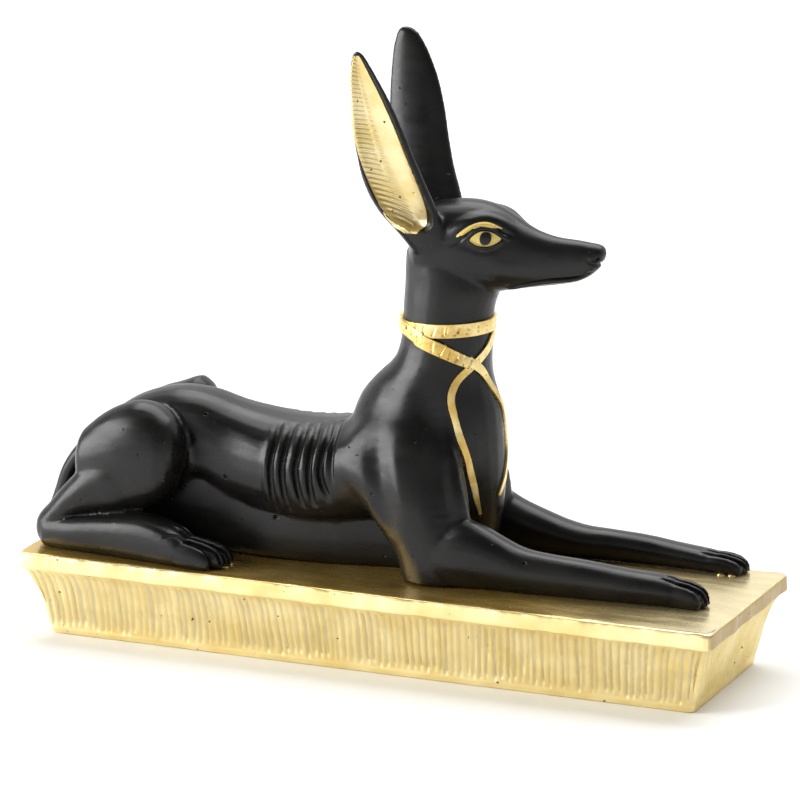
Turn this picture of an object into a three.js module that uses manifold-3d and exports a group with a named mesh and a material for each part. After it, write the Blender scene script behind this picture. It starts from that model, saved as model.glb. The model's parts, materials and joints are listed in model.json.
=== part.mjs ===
// A lying jackal with tall ears, a collar and a crossed ribbon, on a low plinth with fluted sides.
// Millimetres, +Z up, +X towards the jackal's nose, the origin under the middle of the whole object.
import * as THREE from 'three';
import { mergeVertices } from 'three/addons/utils/BufferGeometryUtils.js';
import Module from 'manifold-3d';

const wasm = await Module();
wasm.setup();

// Driving dimensions
const FIGURE_HEIGHT = 164;      // jackal, from the underside of its paws to its ear tips
const FIGURE_TURN = 3.4;        // degrees that the jackal lies askew on the plinth
const FIGURE_SHIFT = 4.5;       // its middle line beside the plinth's middle line, at mid length
const SEAT_CLEARANCE = 0.3;     // between the jackal and the plinth that carries it
const PAW_MARGIN = 8.5;         // plinth in front of the forepaws
const SIDE_MARGIN = 3.7;        // plinth beside the widest pair of feet
const PLINTH_HEIGHT = 27.5;
const BAND_HEIGHT = 4.9;        // plain band round the plinth's top
const SIDE_HOLLOW = 8;          // how far the hollow sides draw in on their way down
const FOOT_BAND = 2.3;          // plain strip below the flutes
const HOLLOW_POWER = 0.55;      // shape of the hollow: smaller draws in sooner below the band
const MID_LEVEL = 0.75;         // share of the flutes' height at which their slope changes
const BAND_LEDGE = 0.75;        // how far the band stands out over the heads of the flutes
const FOOT_RELIEF = 0.15;       // how far the foot stands out from the flutes
const FLUTE_PITCH = 2.42;
const FLUTE_DEPTH = 0.45;
const COLLAR_RELIEF = 0.6;      // how far the collar and ribbon stand out
const COLLAR_WIDTH = 4.3;
const TAIL_THICKNESS = 5.6;
const TAIL_DROP = 18;           // how far the tail hangs down behind the plinth
const TAIL_CLEARANCE = 0.3;     // between the tail and the end of the seat behind the plinth

// The jackal's own proportions are written for a figure of this height and scaled to FIGURE_HEIGHT.
const DRAWN_HEIGHT = 164;
const PROPORTION = FIGURE_HEIGHT / DRAWN_HEIGHT;
const DRAWN_REACH = 106.5;      // middle of the plinth to the tips of the forepaws
const DRAWN_SPREAD = 32;        // middle line to the outer side of the feet

const plinthLength = 2 * (DRAWN_REACH * PROPORTION + PAW_MARGIN);
const plinthWidth = 2 * (DRAWN_SPREAD * PROPORTION + SIDE_MARGIN);

const BLACK = new THREE.MeshStandardMaterial({ color: 0x0d0c0c, roughness: 0.42, metalness: 0 });
const GOLD = new THREE.MeshStandardMaterial({ color: 0xcfa544, roughness: 0.38, metalness: 0.7 });

const DOME_STEPS = [0.25, 0.6];  // shares of a domed end's quarter turn that get a ring

const LEFT = new THREE.Vector3(0, 1, 0);
const FORWARD = new THREE.Vector3(1, 0, 0);
const UPWARD = new THREE.Vector3(0, 0, 1);
const DOWNWARD = new THREE.Vector3(0, 0, -1);

// A closed geometry over a row of rings, each with the same number of points, ends closed flat.
function skin(rings) {
  const sides = rings[0].length;
  const points = rings.flat();
  const last = rings.length - 1;
  const ends = [rings[0], rings[last]].map((ring) => {
    const middle = new THREE.Vector3();
    ring.forEach((point) => middle.add(point));
    return middle.divideScalar(sides);
  });
  const faces = [];
  for (let i = 0; i < last; i++) {
    for (let k = 0; k < sides; k++) {
      const a = i * sides + k;
      const b = i * sides + (k + 1) % sides;
      faces.push(a, b, b + sides, a, b + sides, a + sides);
    }
  }
  for (let k = 0; k < sides; k++) {
    const next = (k + 1) % sides;
    faces.push(points.length, next, k);
    faces.push(points.length + 1, last * sides + k, last * sides + next);
  }
  const geometry = new THREE.BufferGeometry().setFromPoints([...points, ...ends]);
  geometry.setIndex(faces);
  return geometry;
}

// Distances of the rings along a path: at `steps` of each domed end's curve, even in between.
function ringDistances(length, rings, domes, steps) {
  const start = domes[0] ? steps.map((q) => domes[0] * (1 - Math.cos(q * Math.PI / 2))) : [];
  const end = domes[1] ? steps.map((q) => length - domes[1] * (1 - Math.cos(q * Math.PI / 2))) : [];
  const middle = [];
  for (let i = 0; i <= rings; i++) {
    middle.push(domes[0] + (length - domes[0] - domes[1]) * i / rings);
  }
  return [...start, ...middle, ...end.reverse()];
}

// Share of the full section left at a distance from an end that is domed over `dome`.
function domeShare(distance, dome) {
  if (distance >= dome) return 1;
  return Math.sqrt(1 - (1 - distance / dome) ** 2);
}

// Stations are [x, y, z, half width, upper radius, lower radius] along a limb or body. The sections
// lie square to `facing`, or to the path, and `across` is the direction of their width. A `power` of
// 2 makes them ellipses and a higher one makes them squarer.
function loft(stations, options = {}) {
  const {
    sides = 18, rings = 8, domes = [0, 0], steps = [0.35], across = LEFT, power = 2,
    relief, marks, facing,
  } = options;
  const at = stations.map((s) => new THREE.Vector3(s[0], s[1], s[2]).multiplyScalar(PROPORTION));
  const radii = stations.map((s) => new THREE.Vector3(s[3], s[4], s[5]).multiplyScalar(PROPORTION));
  const path = new THREE.CatmullRomCurve3(at);
  const sizes = new THREE.CatmullRomCurve3(radii, false, 'catmullrom');
  path.arcLengthDivisions = 400;
  const length = path.getLength();
  const reach = domes.map((dome) => dome * PROPORTION);
  const distances = marks ? marks(length) : ringDistances(length, rings, reach, steps);
  return skin(distances.map((distance) => {
    const t = path.getUtoTmapping(0, distance);
    const middle = path.getPoint(t);
    const size = sizes.getPoint(t);
    const share = domeShare(distance, reach[0]) * domeShare(length - distance, reach[1]);
    const along = facing || path.getTangent(t);
    const side = across.clone().addScaledVector(along, -along.dot(across)).normalize();
    const upward = along.clone().cross(side);
    const ring = [];
    for (let k = 0; k < sides; k++) {
      const angle = 2 * Math.PI * (k + 0.5) / sides;
      const c = Math.cos(angle);
      const s = Math.sin(angle);
      const wide = Math.sign(c) * Math.abs(c) ** (2 / power) * size.x * share;
      const high = Math.sign(s) * Math.abs(s) ** (2 / power) * (s > 0 ? size.y : size.z) * share;
      const point = middle.clone().addScaledVector(side, wide).addScaledVector(upward, high);
      if (relief) relief(point, side.clone().multiplyScalar(wide).addScaledVector(upward, high).normalize());
      ring.push(point);
    }
    return ring;
  }));
}

function solidOf(geometry) {
  const shape = geometry.clone();
  shape.deleteAttribute('normal');
  shape.deleteAttribute('uv');
  const merged = mergeVertices(shape, 1e-4);
  const vertProperties = new Float32Array(merged.attributes.position.array);
  const triVerts = new Uint32Array(merged.index.array);
  return new wasm.Manifold(new wasm.Mesh({ numProp: 3, vertProperties, triVerts }));
}

function geometryOf(solid) {
  const mesh = solid.getMesh();
  const geometry = new THREE.BufferGeometry();
  geometry.setAttribute('position', new THREE.BufferAttribute(mesh.vertProperties, 3));
  geometry.setIndex(new THREE.BufferAttribute(mesh.triVerts, 1));
  return geometry;
}

function joined(geometries) {
  return geometries.map(solidOf).reduce((sum, solid) => sum.add(solid));
}

const TOE_COUNT = 4;
const TOE_RELIEF = 0.7;         // how far the toes stand up from the foot
const TOE_WIDTH = 1.15;         // of one toe, as a share of an equal part of the foot's width
const TOE_STEP = 0.25;          // how much less the outermost toes reach
const TOE_ROOT = 9;             // how far behind the foot's end the toes start
const TOE_SLOPE = 0.8;          // height of a toe at its middle, as a share of its height at the foot
const TOE_DOME = 2.4;
const FORE_TOE = 7;
const HIND_TOE = 9;
const LEFT_INSET = 2.4;         // how much nearer to the middle the left hind foot lies
const FORE_SLANT = 0;           // how much further the innermost toe reaches than the outermost
const HIND_SLANT = 4;

// The same stations on the jackal's left (side 1) or right (side -1).
function onSide(stations, side) {
  return stations.map(([x, y, z, ...radii]) => [x, y * side, z, ...radii]);
}

// Trunk: rump to breast, with the ribs as shallow grooves that bow backwards.
const TRUNK = [
  [-104, 0, 27, 6, 4, 13],
  [-97, 0, 27, 10.5, 12, 17],
  [-88, 0, 28, 13.5, 17.3, 20],
  [-76, 0, 30, 14.5, 19, 20],
  [-65, 0, 31.5, 14.4, 17.2, 14],
  [-54, 0, 29, 15.6, 16.7, 15.5],
  [-42, 0, 27, 18.4, 16.6, 15.5],
  [-30, 0, 26.2, 20.4, 16.7, 15.2],
  [-18, 0, 27, 20.8, 17, 15],
  [-6, 0, 29, 19.6, 18, 15],
  [8, 0, 33, 17, 16, 20],
  [20, 0, 34, 13, 13, 24],
];
const RIB_COUNT = 6;
const RIB_FIRST = -37;          // top of the rearmost groove
const RIB_PITCH = 4.1;
const RIB_DEPTH = 0.8;
const RIB_BOW = 0.8;
const RIB_MIDDLE = 29;          // height at which the grooves lie furthest back
const RIB_SPAN = 17;            // how far they reach above and below that
const RIB_LEAN = 0.6;           // they fade where the skin turns towards the back or the belly
const REAR_RINGS = [-103.4, -101.5, -96, -88, -78, -68, -57, -47, -41.5];
const FRONT_RINGS = [-6, 3, 12, 20];

function ribRelief(point, outward) {
  const x = point.x / PROPORTION;
  const rearFade = THREE.MathUtils.smoothstep(x, REAR_RINGS[6], REAR_RINGS[8]);
  const fade = rearFade * (1 - THREE.MathUtils.smoothstep(x, -8, FRONT_RINGS[1]));
  const height = THREE.MathUtils.clamp((point.z / PROPORTION - RIB_MIDDLE) / RIB_SPAN, -1, 1);
  point.x -= fade * RIB_BOW * PROPORTION * (1 - height * height);
  const place = (x - RIB_FIRST) / RIB_PITCH;
  if (place > -0.6 && place < RIB_COUNT - 0.4 && Math.abs(outward.y) > RIB_LEAN) {
    point.addScaledVector(outward, -RIB_DEPTH * PROPORTION * (0.5 + 0.5 * Math.cos(2 * Math.PI * place)));
  }
}

// Rings of the trunk: one on each groove and each ridge of the ribs, wider apart elsewhere.
function trunkMarks(length) {
  const start = TRUNK[0][0];
  const ribs = [];
  for (let i = -1; i < 2 * RIB_COUNT; i++) {
    ribs.push(RIB_FIRST + RIB_PITCH * i / 2);
  }
  const share = length / (TRUNK[TRUNK.length - 1][0] - start);
  return [...REAR_RINGS, ...ribs, ...FRONT_RINGS].map((x) => (x - start) * share);
}

function trunk() {
  return loft(TRUNK, {
    sides: 14, marks: trunkMarks, domes: [5, 0], power: 2.5, facing: FORWARD, relief: ribRelief,
  });
}

// Solid web below the belly, set in from the flanks.
const WEB = [
  [-92, 0, 8, 9, 18, 12],
  [-76, 0, 8, 12, 24, 12],
  [-60, 0, 8, 15, 22, 12],
  [-40, 0, 8, 17.6, 12, 12],
  [-8, 0, 8, 17.8, 12, 12],
  [24, 0, 8, 11, 14, 12],
];

// Neck, from inside the breast up into the skull; its upper radius is the nape's.
const NECK = [
  [8, 0, 10, 10, 10, 22],
  [8, 0, 22, 13, 16, 24],
  [8, 0, 35, 17.5, 22, 24.1],
  [8, 0, 45, 18.4, 24.5, 23.6],
  [9, 0, 52, 17.4, 23.4, 21.6],
  [10.6, 0, 59, 15.6, 19.4, 17.8],
  [12.4, 0, 64.5, 14.2, 15.6, 15.2],
  [13.4, 0, 70, 13.2, 14.4, 14.4],
  [13.8, 0, 77, 12.8, 14, 14.2],
  [14, 0, 83, 12.5, 14, 14.6],
  [14.6, 0, 89, 12.2, 14.2, 15.8],
  [14, 0, 96, 11.4, 13.4, 13],
  [13, 0, 103, 10, 12, 12],
];

// Head, from the nape to the nose.
const HEAD = [
  [2, 0, 101, 8, 8.5, 9],
  [9, 0, 102.5, 11.3, 11.5, 14],
  [19, 0, 103, 12, 12.8, 15],
  [28, 0, 102, 10.8, 13, 14.5],
  [35, 0, 100.6, 8.6, 11.2, 12],
  [41, 0, 99.8, 6.9, 8.4, 10],
  [48, 0, 99.2, 5.7, 6.9, 8.2],
  [56, 0, 99.4, 4.9, 6.1, 6.6],
  [60.5, 0, 100.2, 4.2, 4.7, 5],
  [64.3, 0, 101.6, 3.3, 3, 2.8],
];

// Ear: a leaf that leans back and outwards; its hollow opens to the side.
const EAR = [
  [12, 8, 98, 5, 3, 3],
  [9.2, 9.6, 105, 7.4, 3.8, 3.8],
  [4.7, 11.3, 113, 9.6, 3.8, 3.8],
  [1.1, 13.3, 122, 9.8, 3.4, 3.4],
  [-1.2, 15.4, 131, 9, 3, 3],
  [-3.1, 17.4, 140, 7.9, 2.6, 2.6],
  [-4.8, 19.3, 149, 6, 2.2, 2.2],
  [-6.5, 21.2, 157.5, 3.6, 1.7, 1.7],
  [-7.6, 22.4, 163.7, 1.3, 1, 1],
];

// The left ear ends in a broader, blunter tip.
const LEFT_EAR = [
  ...EAR.slice(0, 4),
  [-0.8, 15.4, 131, 9.4, 3, 3],
  [-2.3, 17.4, 140, 8.9, 2.6, 2.6],
  [-3.9, 19.3, 149, 7.5, 2.2, 2.2],
  [-5.9, 21.2, 157.5, 5.4, 1.8, 1.8],
  [-7.3, 22.4, 163.7, 2.9, 1.3, 1.3],
];
const EAR_HOLLOW_OFFSET = 2;    // how far the hollow's middle line lies outside the ear's
const EAR_HOLLOW_LIFT = 2;      // how much higher the hollow starts and ends
const EAR_HOLLOW_WIDTH = 0.8;   // share of the ear's own width
const EAR_HOLLOW_BACK = 0.08;   // the same share by which the hollow lies nearer the rear rim
const EAR_HOLLOW_DEPTH = 0.95;  // share of the ear's own thickness

function earSolid(side) {
  const rows = side > 0 ? LEFT_EAR : EAR;
  const leaf = loft(onSide(rows, side), { sides: 8, rings: 7, domes: [0, 1], across: FORWARD });
  const inner = rows.slice(1).map(([x, y, z, half, up, down]) => [
    x - EAR_HOLLOW_BACK * half, y + EAR_HOLLOW_OFFSET, z + EAR_HOLLOW_LIFT,
    half * EAR_HOLLOW_WIDTH, up * EAR_HOLLOW_DEPTH, down * EAR_HOLLOW_DEPTH,
  ]);
  const hollow = loft(onSide(inner, side), { sides: 8, rings: 5, domes: [5, 2], across: FORWARD });
  return solidOf(leaf).subtract(solidOf(hollow));
}

// Upper foreleg, from the shoulder down to the elbow; its upper radius points forwards.
const SHOULDER = [
  [8, 5, 59, 5, 8, 10],
  [6, 10, 50.5, 7.8, 13, 14],
  [4, 13.6, 43, 8.8, 18, 17],
  [4, 16.2, 34, 9.4, 20, 19.5],
  [8.5, 18.2, 26, 9, 18, 18],
  [13, 19.6, 17, 8.1, 15, 15.8],
  [15, 20.2, 8, 7.5, 12.4, 11],
  [15, 20.4, -2, 7.2, 12, 8],
];

// Forearm and paw on the plinth; the left one is slimmer and lies further out.
const RIGHT_FOREARM = [
  [9, 19.8, 8, 5.5, 7, 9],
  [16, 20.5, 8.6, 6.9, 9.6, 10],
  [24, 20.8, 9, 7.2, 11.6, 10.5],
  [31, 20.7, 8.6, 7, 10.8, 10],
  [38, 20.6, 7.5, 6.6, 8.6, 8.5],
  [45, 20.5, 6.5, 6.3, 6.5, 7.5],
  [53, 20.4, 6.2, 6, 5.6, 7.2],
  [65, 20.3, 5.8, 5.8, 5.1, 6.8],
  [79, 20, 5.2, 5.8, 4.3, 6.2],
  [91, 19.4, 4.7, 6, 3.8, 5.6],
  [97, 19.2, 3.8, 5.6, 3.2, 4.6],
];
const LEFT_FOREARM = [
  [9, 19.8, 8, 5.5, 7, 9],
  [16, 21, 8.4, 6.9, 9.6, 10],
  [24, 21.8, 8.4, 7.2, 10.8, 10],
  [31, 22, 8, 7, 7.9, 9.5],
  [38, 22, 7, 6.6, 6.2, 8.5],
  [45, 22, 6, 6.2, 4.8, 7],
  [52, 21.8, 5.2, 5.8, 4.2, 6.2],
  [60, 21.8, 5, 5.3, 4, 6],
  [72, 21.4, 4.7, 5.2, 3.6, 5.6],
  [82, 20.9, 4.2, 5.2, 2.9, 5],
  [91, 20.3, 3.8, 5.3, 2.4, 4.6],
  [98.5, 19.9, 3.1, 5.2, 2, 4],
];

// Haunch: thigh and shank in one egg that narrows back to the hock.
const HAUNCH = [
  [-102.6, 17.5, 28.5, 5, 6, 6],
  [-99.5, 17.3, 27.8, 7.5, 10, 12],
  [-94, 17, 27.5, 9.4, 15, 15],
  [-88, 16.8, 28.4, 10.5, 17.5, 17],
  [-82, 16.7, 29.8, 11, 17.9, 17.4],
  [-76.5, 16.7, 31.2, 11, 16, 17],
  [-71.8, 16.9, 32.4, 10.6, 12.6, 15.5],
  [-66.2, 17.3, 33, 9.4, 10.5, 13],
];

// The left haunch stands a little higher in front, so that it shows over the back.
const LEFT_HAUNCH = [
  [-101.2, 17.5, 28.5, 5, 4.6, 6],
  [-98.1, 17.3, 27.8, 7.5, 8.6, 12],
  [-92.6, 17, 27.5, 9.4, 13.4, 15],
  [-86.6, 16.8, 28.4, 10.5, 15.6, 17],
  [-80.6, 16.7, 29.8, 11, 16.2, 17.4],
  [-76, 16.7, 31, 11, 16.7, 17],
  [-72.2, 16.9, 32.2, 10.6, 15.6, 15.5],
  [-67.5, 17.3, 33, 9.4, 11.4, 13],
];

// Shank, from the thigh back to the hock.
const SHANK = [
  [-115.5, 20, 6, 3.6, 3, 6],
  [-112, 20.3, 7, 4.8, 5, 7],
  [-107, 20.6, 10.4, 5.6, 7.6, 6],
  [-102, 20.6, 14, 6.4, 9.4, 5],
  [-95, 20.4, 18.5, 7.2, 11.5, 7.5],
  [-86, 19.6, 22, 7.8, 13, 9.8],
  [-77, 16.8, 25, 6.4, 13, 10.5],
  [-71, 14, 27, 4, 10, 10],
];

// Hind foot, from the hock to the toes.
const HIND_FOOT = [
  [-114, 20, 5, 5.2, 4.2, 6],
  [-104, 21.8, 5.4, 6.1, 4.8, 6.6],
  [-90, 23.6, 6.2, 6.5, 6.2, 7.2],
  [-76, 25.6, 6.4, 6.8, 7.2, 7.6],
  [-66, 27.2, 5.6, 7, 5.8, 6.8],
  [-59, 28, 4.2, 6.8, 3.8, 5],
];

// Toes: a fan of slim ridges over the end of a foot. They start `back` behind its end and reach
// `reach` in front of it, the outer ones a little shorter and lower.
function toes(foot, side, back, reach, slant) {
  const [x, y, z, half, up] = foot[foot.length - 1];
  const toeHalf = TOE_WIDTH * half / TOE_COUNT;
  const ridges = [];
  for (let i = 0; i < TOE_COUNT; i++) {
    const share = 2 * i / (TOE_COUNT - 1) - 1;
    const place = y + share * (half - toeHalf);
    const full = 1 - TOE_STEP * share * share;
    const tip = x + reach * full + slant * (1 - share) / 2;
    const top = z + up * full;
    const knuckle = x + (tip - x) / 2;
    ridges.push(loft(onSide([
      [x - back, place, z, toeHalf * 0.6, up * 0.6, z * 0.5],
      [x - back / 3, place, z, toeHalf, top - z + TOE_RELIEF, z],
      [knuckle, place, z * 0.75, toeHalf, top * TOE_SLOPE - z * 0.75 + TOE_RELIEF, z],
      [tip, place, z * 0.5, toeHalf * 0.9, (top - z) / 2 + TOE_RELIEF, z],
    ], side), { sides: 5, rings: 2, domes: [0, TOE_DOME], facing: FORWARD }));
  }
  return ridges;
}

function legs(side) {
  const left = side > 0;
  const forearm = left ? LEFT_FOREARM : RIGHT_FOREARM;
  const haunch = left ? LEFT_HAUNCH : HAUNCH;
  const foot = HIND_FOOT.map(([x, y, ...rest]) => [x, y - (left ? LEFT_INSET : 0), ...rest]);
  return [
    loft(onSide(SHOULDER, side), { sides: 12, rings: 7, domes: [5, 0], facing: DOWNWARD }),
    loft(onSide(forearm, side), { sides: 8, rings: 7, domes: [3, 5], power: 2.3, facing: FORWARD }),
    loft(onSide(haunch, side), {
      sides: 12, rings: 5, domes: [3, 7], steps: DOME_STEPS, power: 2.2, facing: FORWARD,
    }),
    loft(onSide(SHANK, side), { sides: 8, rings: 4, domes: [3, 4], facing: FORWARD }),
    loft(onSide(foot, side), { sides: 8, rings: 4, domes: [3, 5], power: 2.7, facing: FORWARD }),
    ...toes(forearm, side, TOE_ROOT, FORE_TOE, FORE_SLANT),
    ...toes(foot, side, TOE_ROOT, HIND_TOE, HIND_SLANT),
  ];
}

// Tail: down behind the hindquarters, over the plinth's end and down its back.
function tail() {
  const half = TAIL_THICKNESS / 2 / PROPORTION;
  const end = -(plinthLength / 2 + SEAT_CLEARANCE + TAIL_CLEARANCE) / PROPORTION - half;
  const drop = TAIL_DROP / PROPORTION;
  return loft([
    [-98, 0, 30, half * 1.5, half * 1.3, half * 1.3],
    [-106.6, 0, 26, half * 1.3, half * 1.15, half * 1.15],
    [-112, 0, 19, half * 1.1, half, half],
    [-115, 0, 11, half, half, half],
    [end, 0, 1.5, half, half, half],
    [end, 0, -drop * 0.5, half * 1.05, half * 0.95, half * 0.95],
    [end, 0, -drop, half * 0.8, half * 0.75, half * 0.75],
  ], { sides: 6, rings: 8, domes: [0, 5] });
}

// The neck's skin at a height, `turn` degrees round from the breast towards the left: the point,
// and the direction straight out of the skin there.
const neckPath = new THREE.CatmullRomCurve3(NECK.map(([x, y, z]) => new THREE.Vector3(x, y, z)));
const neckRadii = new THREE.CatmullRomCurve3(
  NECK.map(([, , , half, up, down]) => new THREE.Vector3(half, up, down)), false, 'catmullrom',
);

function onNeck(turn, height) {
  let low = 0;
  let high = 1;
  for (let i = 0; i < 24; i++) {
    const middle = (low + high) / 2;
    if (neckPath.getPoint(middle).z < height) low = middle;
    else high = middle;
  }
  const centre = neckPath.getPoint(low);
  const size = neckRadii.getPoint(low);
  const c = Math.cos(THREE.MathUtils.degToRad(turn));
  const s = Math.sin(THREE.MathUtils.degToRad(turn));
  const reach = c > 0 ? size.z : size.y;
  return {
    point: new THREE.Vector3(centre.x + reach * c, size.x * s, height).multiplyScalar(PROPORTION),
    outward: new THREE.Vector3(c / reach, s / size.x, 0).normalize(),
  };
}

// Collar: a level band round the neck that rises a little at the throat.
const COLLAR_HEIGHT = 76.7;
const COLLAR_RISE = 0.7;
const COLLAR_SIDES = 16;

function collar() {
  return skin([-1, 1].map((edge) => {
    const ring = [];
    for (let k = 0; k < COLLAR_SIDES; k++) {
      const turn = 360 * k / COLLAR_SIDES;
      const height = COLLAR_HEIGHT + COLLAR_RISE * Math.cos(THREE.MathUtils.degToRad(turn));
      const { point, outward } = onNeck(turn, height + edge * COLLAR_WIDTH / 2 / PROPORTION);
      ring.push(point.addScaledVector(outward, COLLAR_RELIEF));
    }
    return ring;
  }));
}

// Ribbon: from the nape round one side of the neck, across the breast and down its other side.
// Marks are [turn, height, width] on the neck's skin.
const NEAR_RIBBON = [
  [-180, 77.4, 3.6],
  [-140, 76.2, 3.8],
  [-110, 74.2, 4.3],
  [-108.8, 73.6, 4.4],
  [-83.9, 71.4, 4.4],
  [-66.7, 69.4, 4],
  [-49.4, 67.5, 3.6],
  [-35.1, 66, 3],
  [-18.4, 62.2, 2.5],
  [-9.2, 58.9, 2.4],
  [-1.4, 55.4, 2.4],
  [6, 51.4, 2.4],
  [10.8, 47, 2.4],
  [13.2, 42, 2.4],
  [11.7, 36, 2.3],
  [1.5, 30, 2.1],
  [-15.5, 24, 1.2],
];
const FAR_RIBBON = [
  [180, 77.4, 3.6],
  [120, 76.6, 3.8],
  [60, 76, 3.6],
  [25, 75.6, 3.4],
  [2.7, 73.6, 3.2],
  [-11.6, 70.6, 3],
  [-28.1, 67.5, 2.7],
  [-40.4, 65.3, 2.5],
  [-52.9, 62.3, 2.4],
  [-58.4, 59.1, 2.4],
  [-59.8, 56, 2.4],
  [-58.2, 52.4, 2.4],
  [-53.8, 47, 2.4],
  [-50.1, 42.2, 2.4],
  [-47, 37.9, 2.4],
  [-44.9, 33.2, 2.3],
  [-43.1, 28.5, 2.2],
  [-41.5, 23.7, 1.8],
  [-37.8, 18.8, 0.8],
];
const RIBBON_RINGS = 16;
const RIBBON_ROOT = 1.6;        // how deep the ribbon's back lies in the neck

function ribbon(marks, rings) {
  const path = new THREE.CatmullRomCurve3(marks.map(([turn, height, width]) => (
    new THREE.Vector3(turn, height, width)
  )));
  const places = path.getPoints(rings).map((mark) => ({ ...onNeck(mark.x, mark.y), width: mark.z * PROPORTION }));
  return skin(places.map(({ point, outward, width }, i) => {
    const before = places[Math.max(i - 1, 0)].point;
    const after = places[Math.min(i + 1, places.length - 1)].point;
    const across = outward.clone().cross(after.clone().sub(before)).normalize();
    const corner = (side, out) => point.clone()
      .addScaledVector(across, side * width / 2).addScaledVector(outward, out);
    return [
      corner(-1, -RIBBON_ROOT), corner(1, -RIBBON_ROOT), corner(1, COLLAR_RELIEF), corner(-1, COLLAR_RELIEF),
    ];
  }));
}

// Eye: a low almond on the side of the head.
const EYE_PLACE = [28.8, 9.6, 106];
const EYE_SIZE = [4.7, 1.1, 2.2];
const EYE_TURN = 18;            // degrees that the head's side narrows by towards the nose

function eye(side) {
  const lens = new THREE.SphereGeometry(1, 10, 4);
  lens.scale(...EYE_SIZE.map((size) => size * PROPORTION));
  lens.rotateZ(THREE.MathUtils.degToRad(-EYE_TURN * side));
  const [x, y, z] = EYE_PLACE.map((place) => place * PROPORTION);
  lens.translate(x, y * side, z);
  return lens;
}

// Slab that takes away whatever of the figure would sink into the plinth.
function seatCutter(placement) {
  const depth = 60;
  const reach = 40;
  const start = -(plinthLength / 2 + SEAT_CLEARANCE);
  const box = new THREE.BoxGeometry(plinthLength + reach, plinthWidth + reach, depth);
  box.translate(start + (plinthLength + reach) / 2, 0, PLINTH_HEIGHT + SEAT_CLEARANCE - depth / 2);
  box.applyMatrix4(placement.clone().invert());
  return solidOf(box);
}

function jackalGeometry(placement) {
  const body = joined([
    trunk(),
    loft(WEB, { sides: 8, rings: 5, power: 4 }),
    loft(NECK, { sides: 14, rings: 9, domes: [0, 4], facing: UPWARD }),
    loft(HEAD, { sides: 12, rings: 9, domes: [4, 2.5], steps: DOME_STEPS, power: 2.1, facing: FORWARD }),
    ...legs(1),
    ...legs(-1),
    tail(),
    collar(),
    ribbon(NEAR_RIBBON, RIBBON_RINGS),
    ribbon(FAR_RIBBON, RIBBON_RINGS),
    eye(1),
    eye(-1),
  ]);
  const figure = body.add(earSolid(1)).add(earSolid(-1)).subtract(seatCutter(placement));
  return geometryOf(figure);
}

// Plinth: a plain band and a plain foot round a hollow-sided core with upright flutes.
function plinthGeometry() {
  const halves = [plinthLength / 2, plinthWidth / 2];
  const counts = halves.map((half) => Math.round(2 * half / FLUTE_PITCH));
  const bandFoot = PLINTH_HEIGHT - BAND_HEIGHT;
  const inset = (z) => Math.max(BAND_LEDGE, SIDE_HOLLOW * (1 - z / bandFoot) ** HOLLOW_POWER);

  // Four corners of one level, drawn in by `draw`, as one ring.
  function corners(z, draw) {
    const [a, b] = halves.map((half) => half - draw);
    return [[-a, -b], [a, -b], [a, b], [-a, b]].map(([x, y]) => new THREE.Vector3(x, y, z));
  }

  // The same level with two points for each flute, every second one sunk.
  function fluted(z) {
    const square = corners(z, inset(z));
    return square.flatMap((corner, i) => {
      const next = square[(i + 1) % square.length];
      const inwards = new THREE.Vector3(corner.y - next.y, next.x - corner.x, 0).normalize();
      const points = [];
      for (let k = 0; k < 2 * counts[i % 2]; k++) {
        const point = corner.clone().lerp(next, k / (2 * counts[i % 2]));
        points.push(point.addScaledVector(inwards, k % 2 ? FLUTE_DEPTH : 0));
      }
      return points;
    });
  }

  // Flat face between a square and the fluted outline inside it, looking up or down.
  function ledge(square, outline, up) {
    const flat = (ring) => ring.map((point) => new THREE.Vector2(point.x, point.y));
    const all = [...square, ...outline];
    return THREE.ShapeUtils.triangulateShape(flat(square), [flat(outline).reverse()]).flatMap((corner) => {
      const picked = corner.map((i) => (i < square.length ? all[i] : outline[all.length - 1 - i]));
      const turn = picked[1].clone().sub(picked[0]).cross(picked[2].clone().sub(picked[0])).z;
      return (turn > 0) === up ? picked : picked.reverse();
    });
  }

  // Sides between two rings with the same number of points.
  function wall(lower, upper) {
    return lower.flatMap((point, i) => {
      const next = (i + 1) % lower.length;
      return [point, lower[next], upper[next], point, upper[next], upper[i]];
    });
  }

  const flutes = [FOOT_BAND, bandFoot * MID_LEVEL, bandFoot].map(fluted);
  const foot = [0, FOOT_BAND].map((z) => corners(z, inset(z) - FOOT_RELIEF));
  const band = [bandFoot, PLINTH_HEIGHT].map((z) => corners(z, 0));
  const [a, b, c, d] = foot[0];
  const [e, f, g, h] = band[1];
  return mergeVertices(new THREE.BufferGeometry().setFromPoints([
    ...[a, c, b, a, d, c],
    ...wall(...foot),
    ...ledge(foot[1], flutes[0], true),
    ...wall(flutes[0], flutes[1]),
    ...wall(flutes[1], flutes[2]),
    ...ledge(band[0], flutes[2], false),
    ...wall(...band),
    ...[e, f, g, e, g, h],
  ]), 1e-4);
}

// Placement on the plinth, then the whole is centred on its box.
const placement = new THREE.Matrix4()
  .makeRotationZ(THREE.MathUtils.degToRad(FIGURE_TURN))
  .setPosition(0, FIGURE_SHIFT, PLINTH_HEIGHT + SEAT_CLEARANCE);

const jackal = new THREE.Mesh(jackalGeometry(placement), BLACK);
jackal.name = 'jackal';
jackal.applyMatrix4(placement);

const plinth = new THREE.Mesh(plinthGeometry(), GOLD);
plinth.name = 'plinth';

const object = new THREE.Group();
object.add(plinth, jackal);
const box = new THREE.Box3().setFromObject(object, true);
object.position.x = -(box.min.x + box.max.x) / 2;

export default object;
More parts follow.
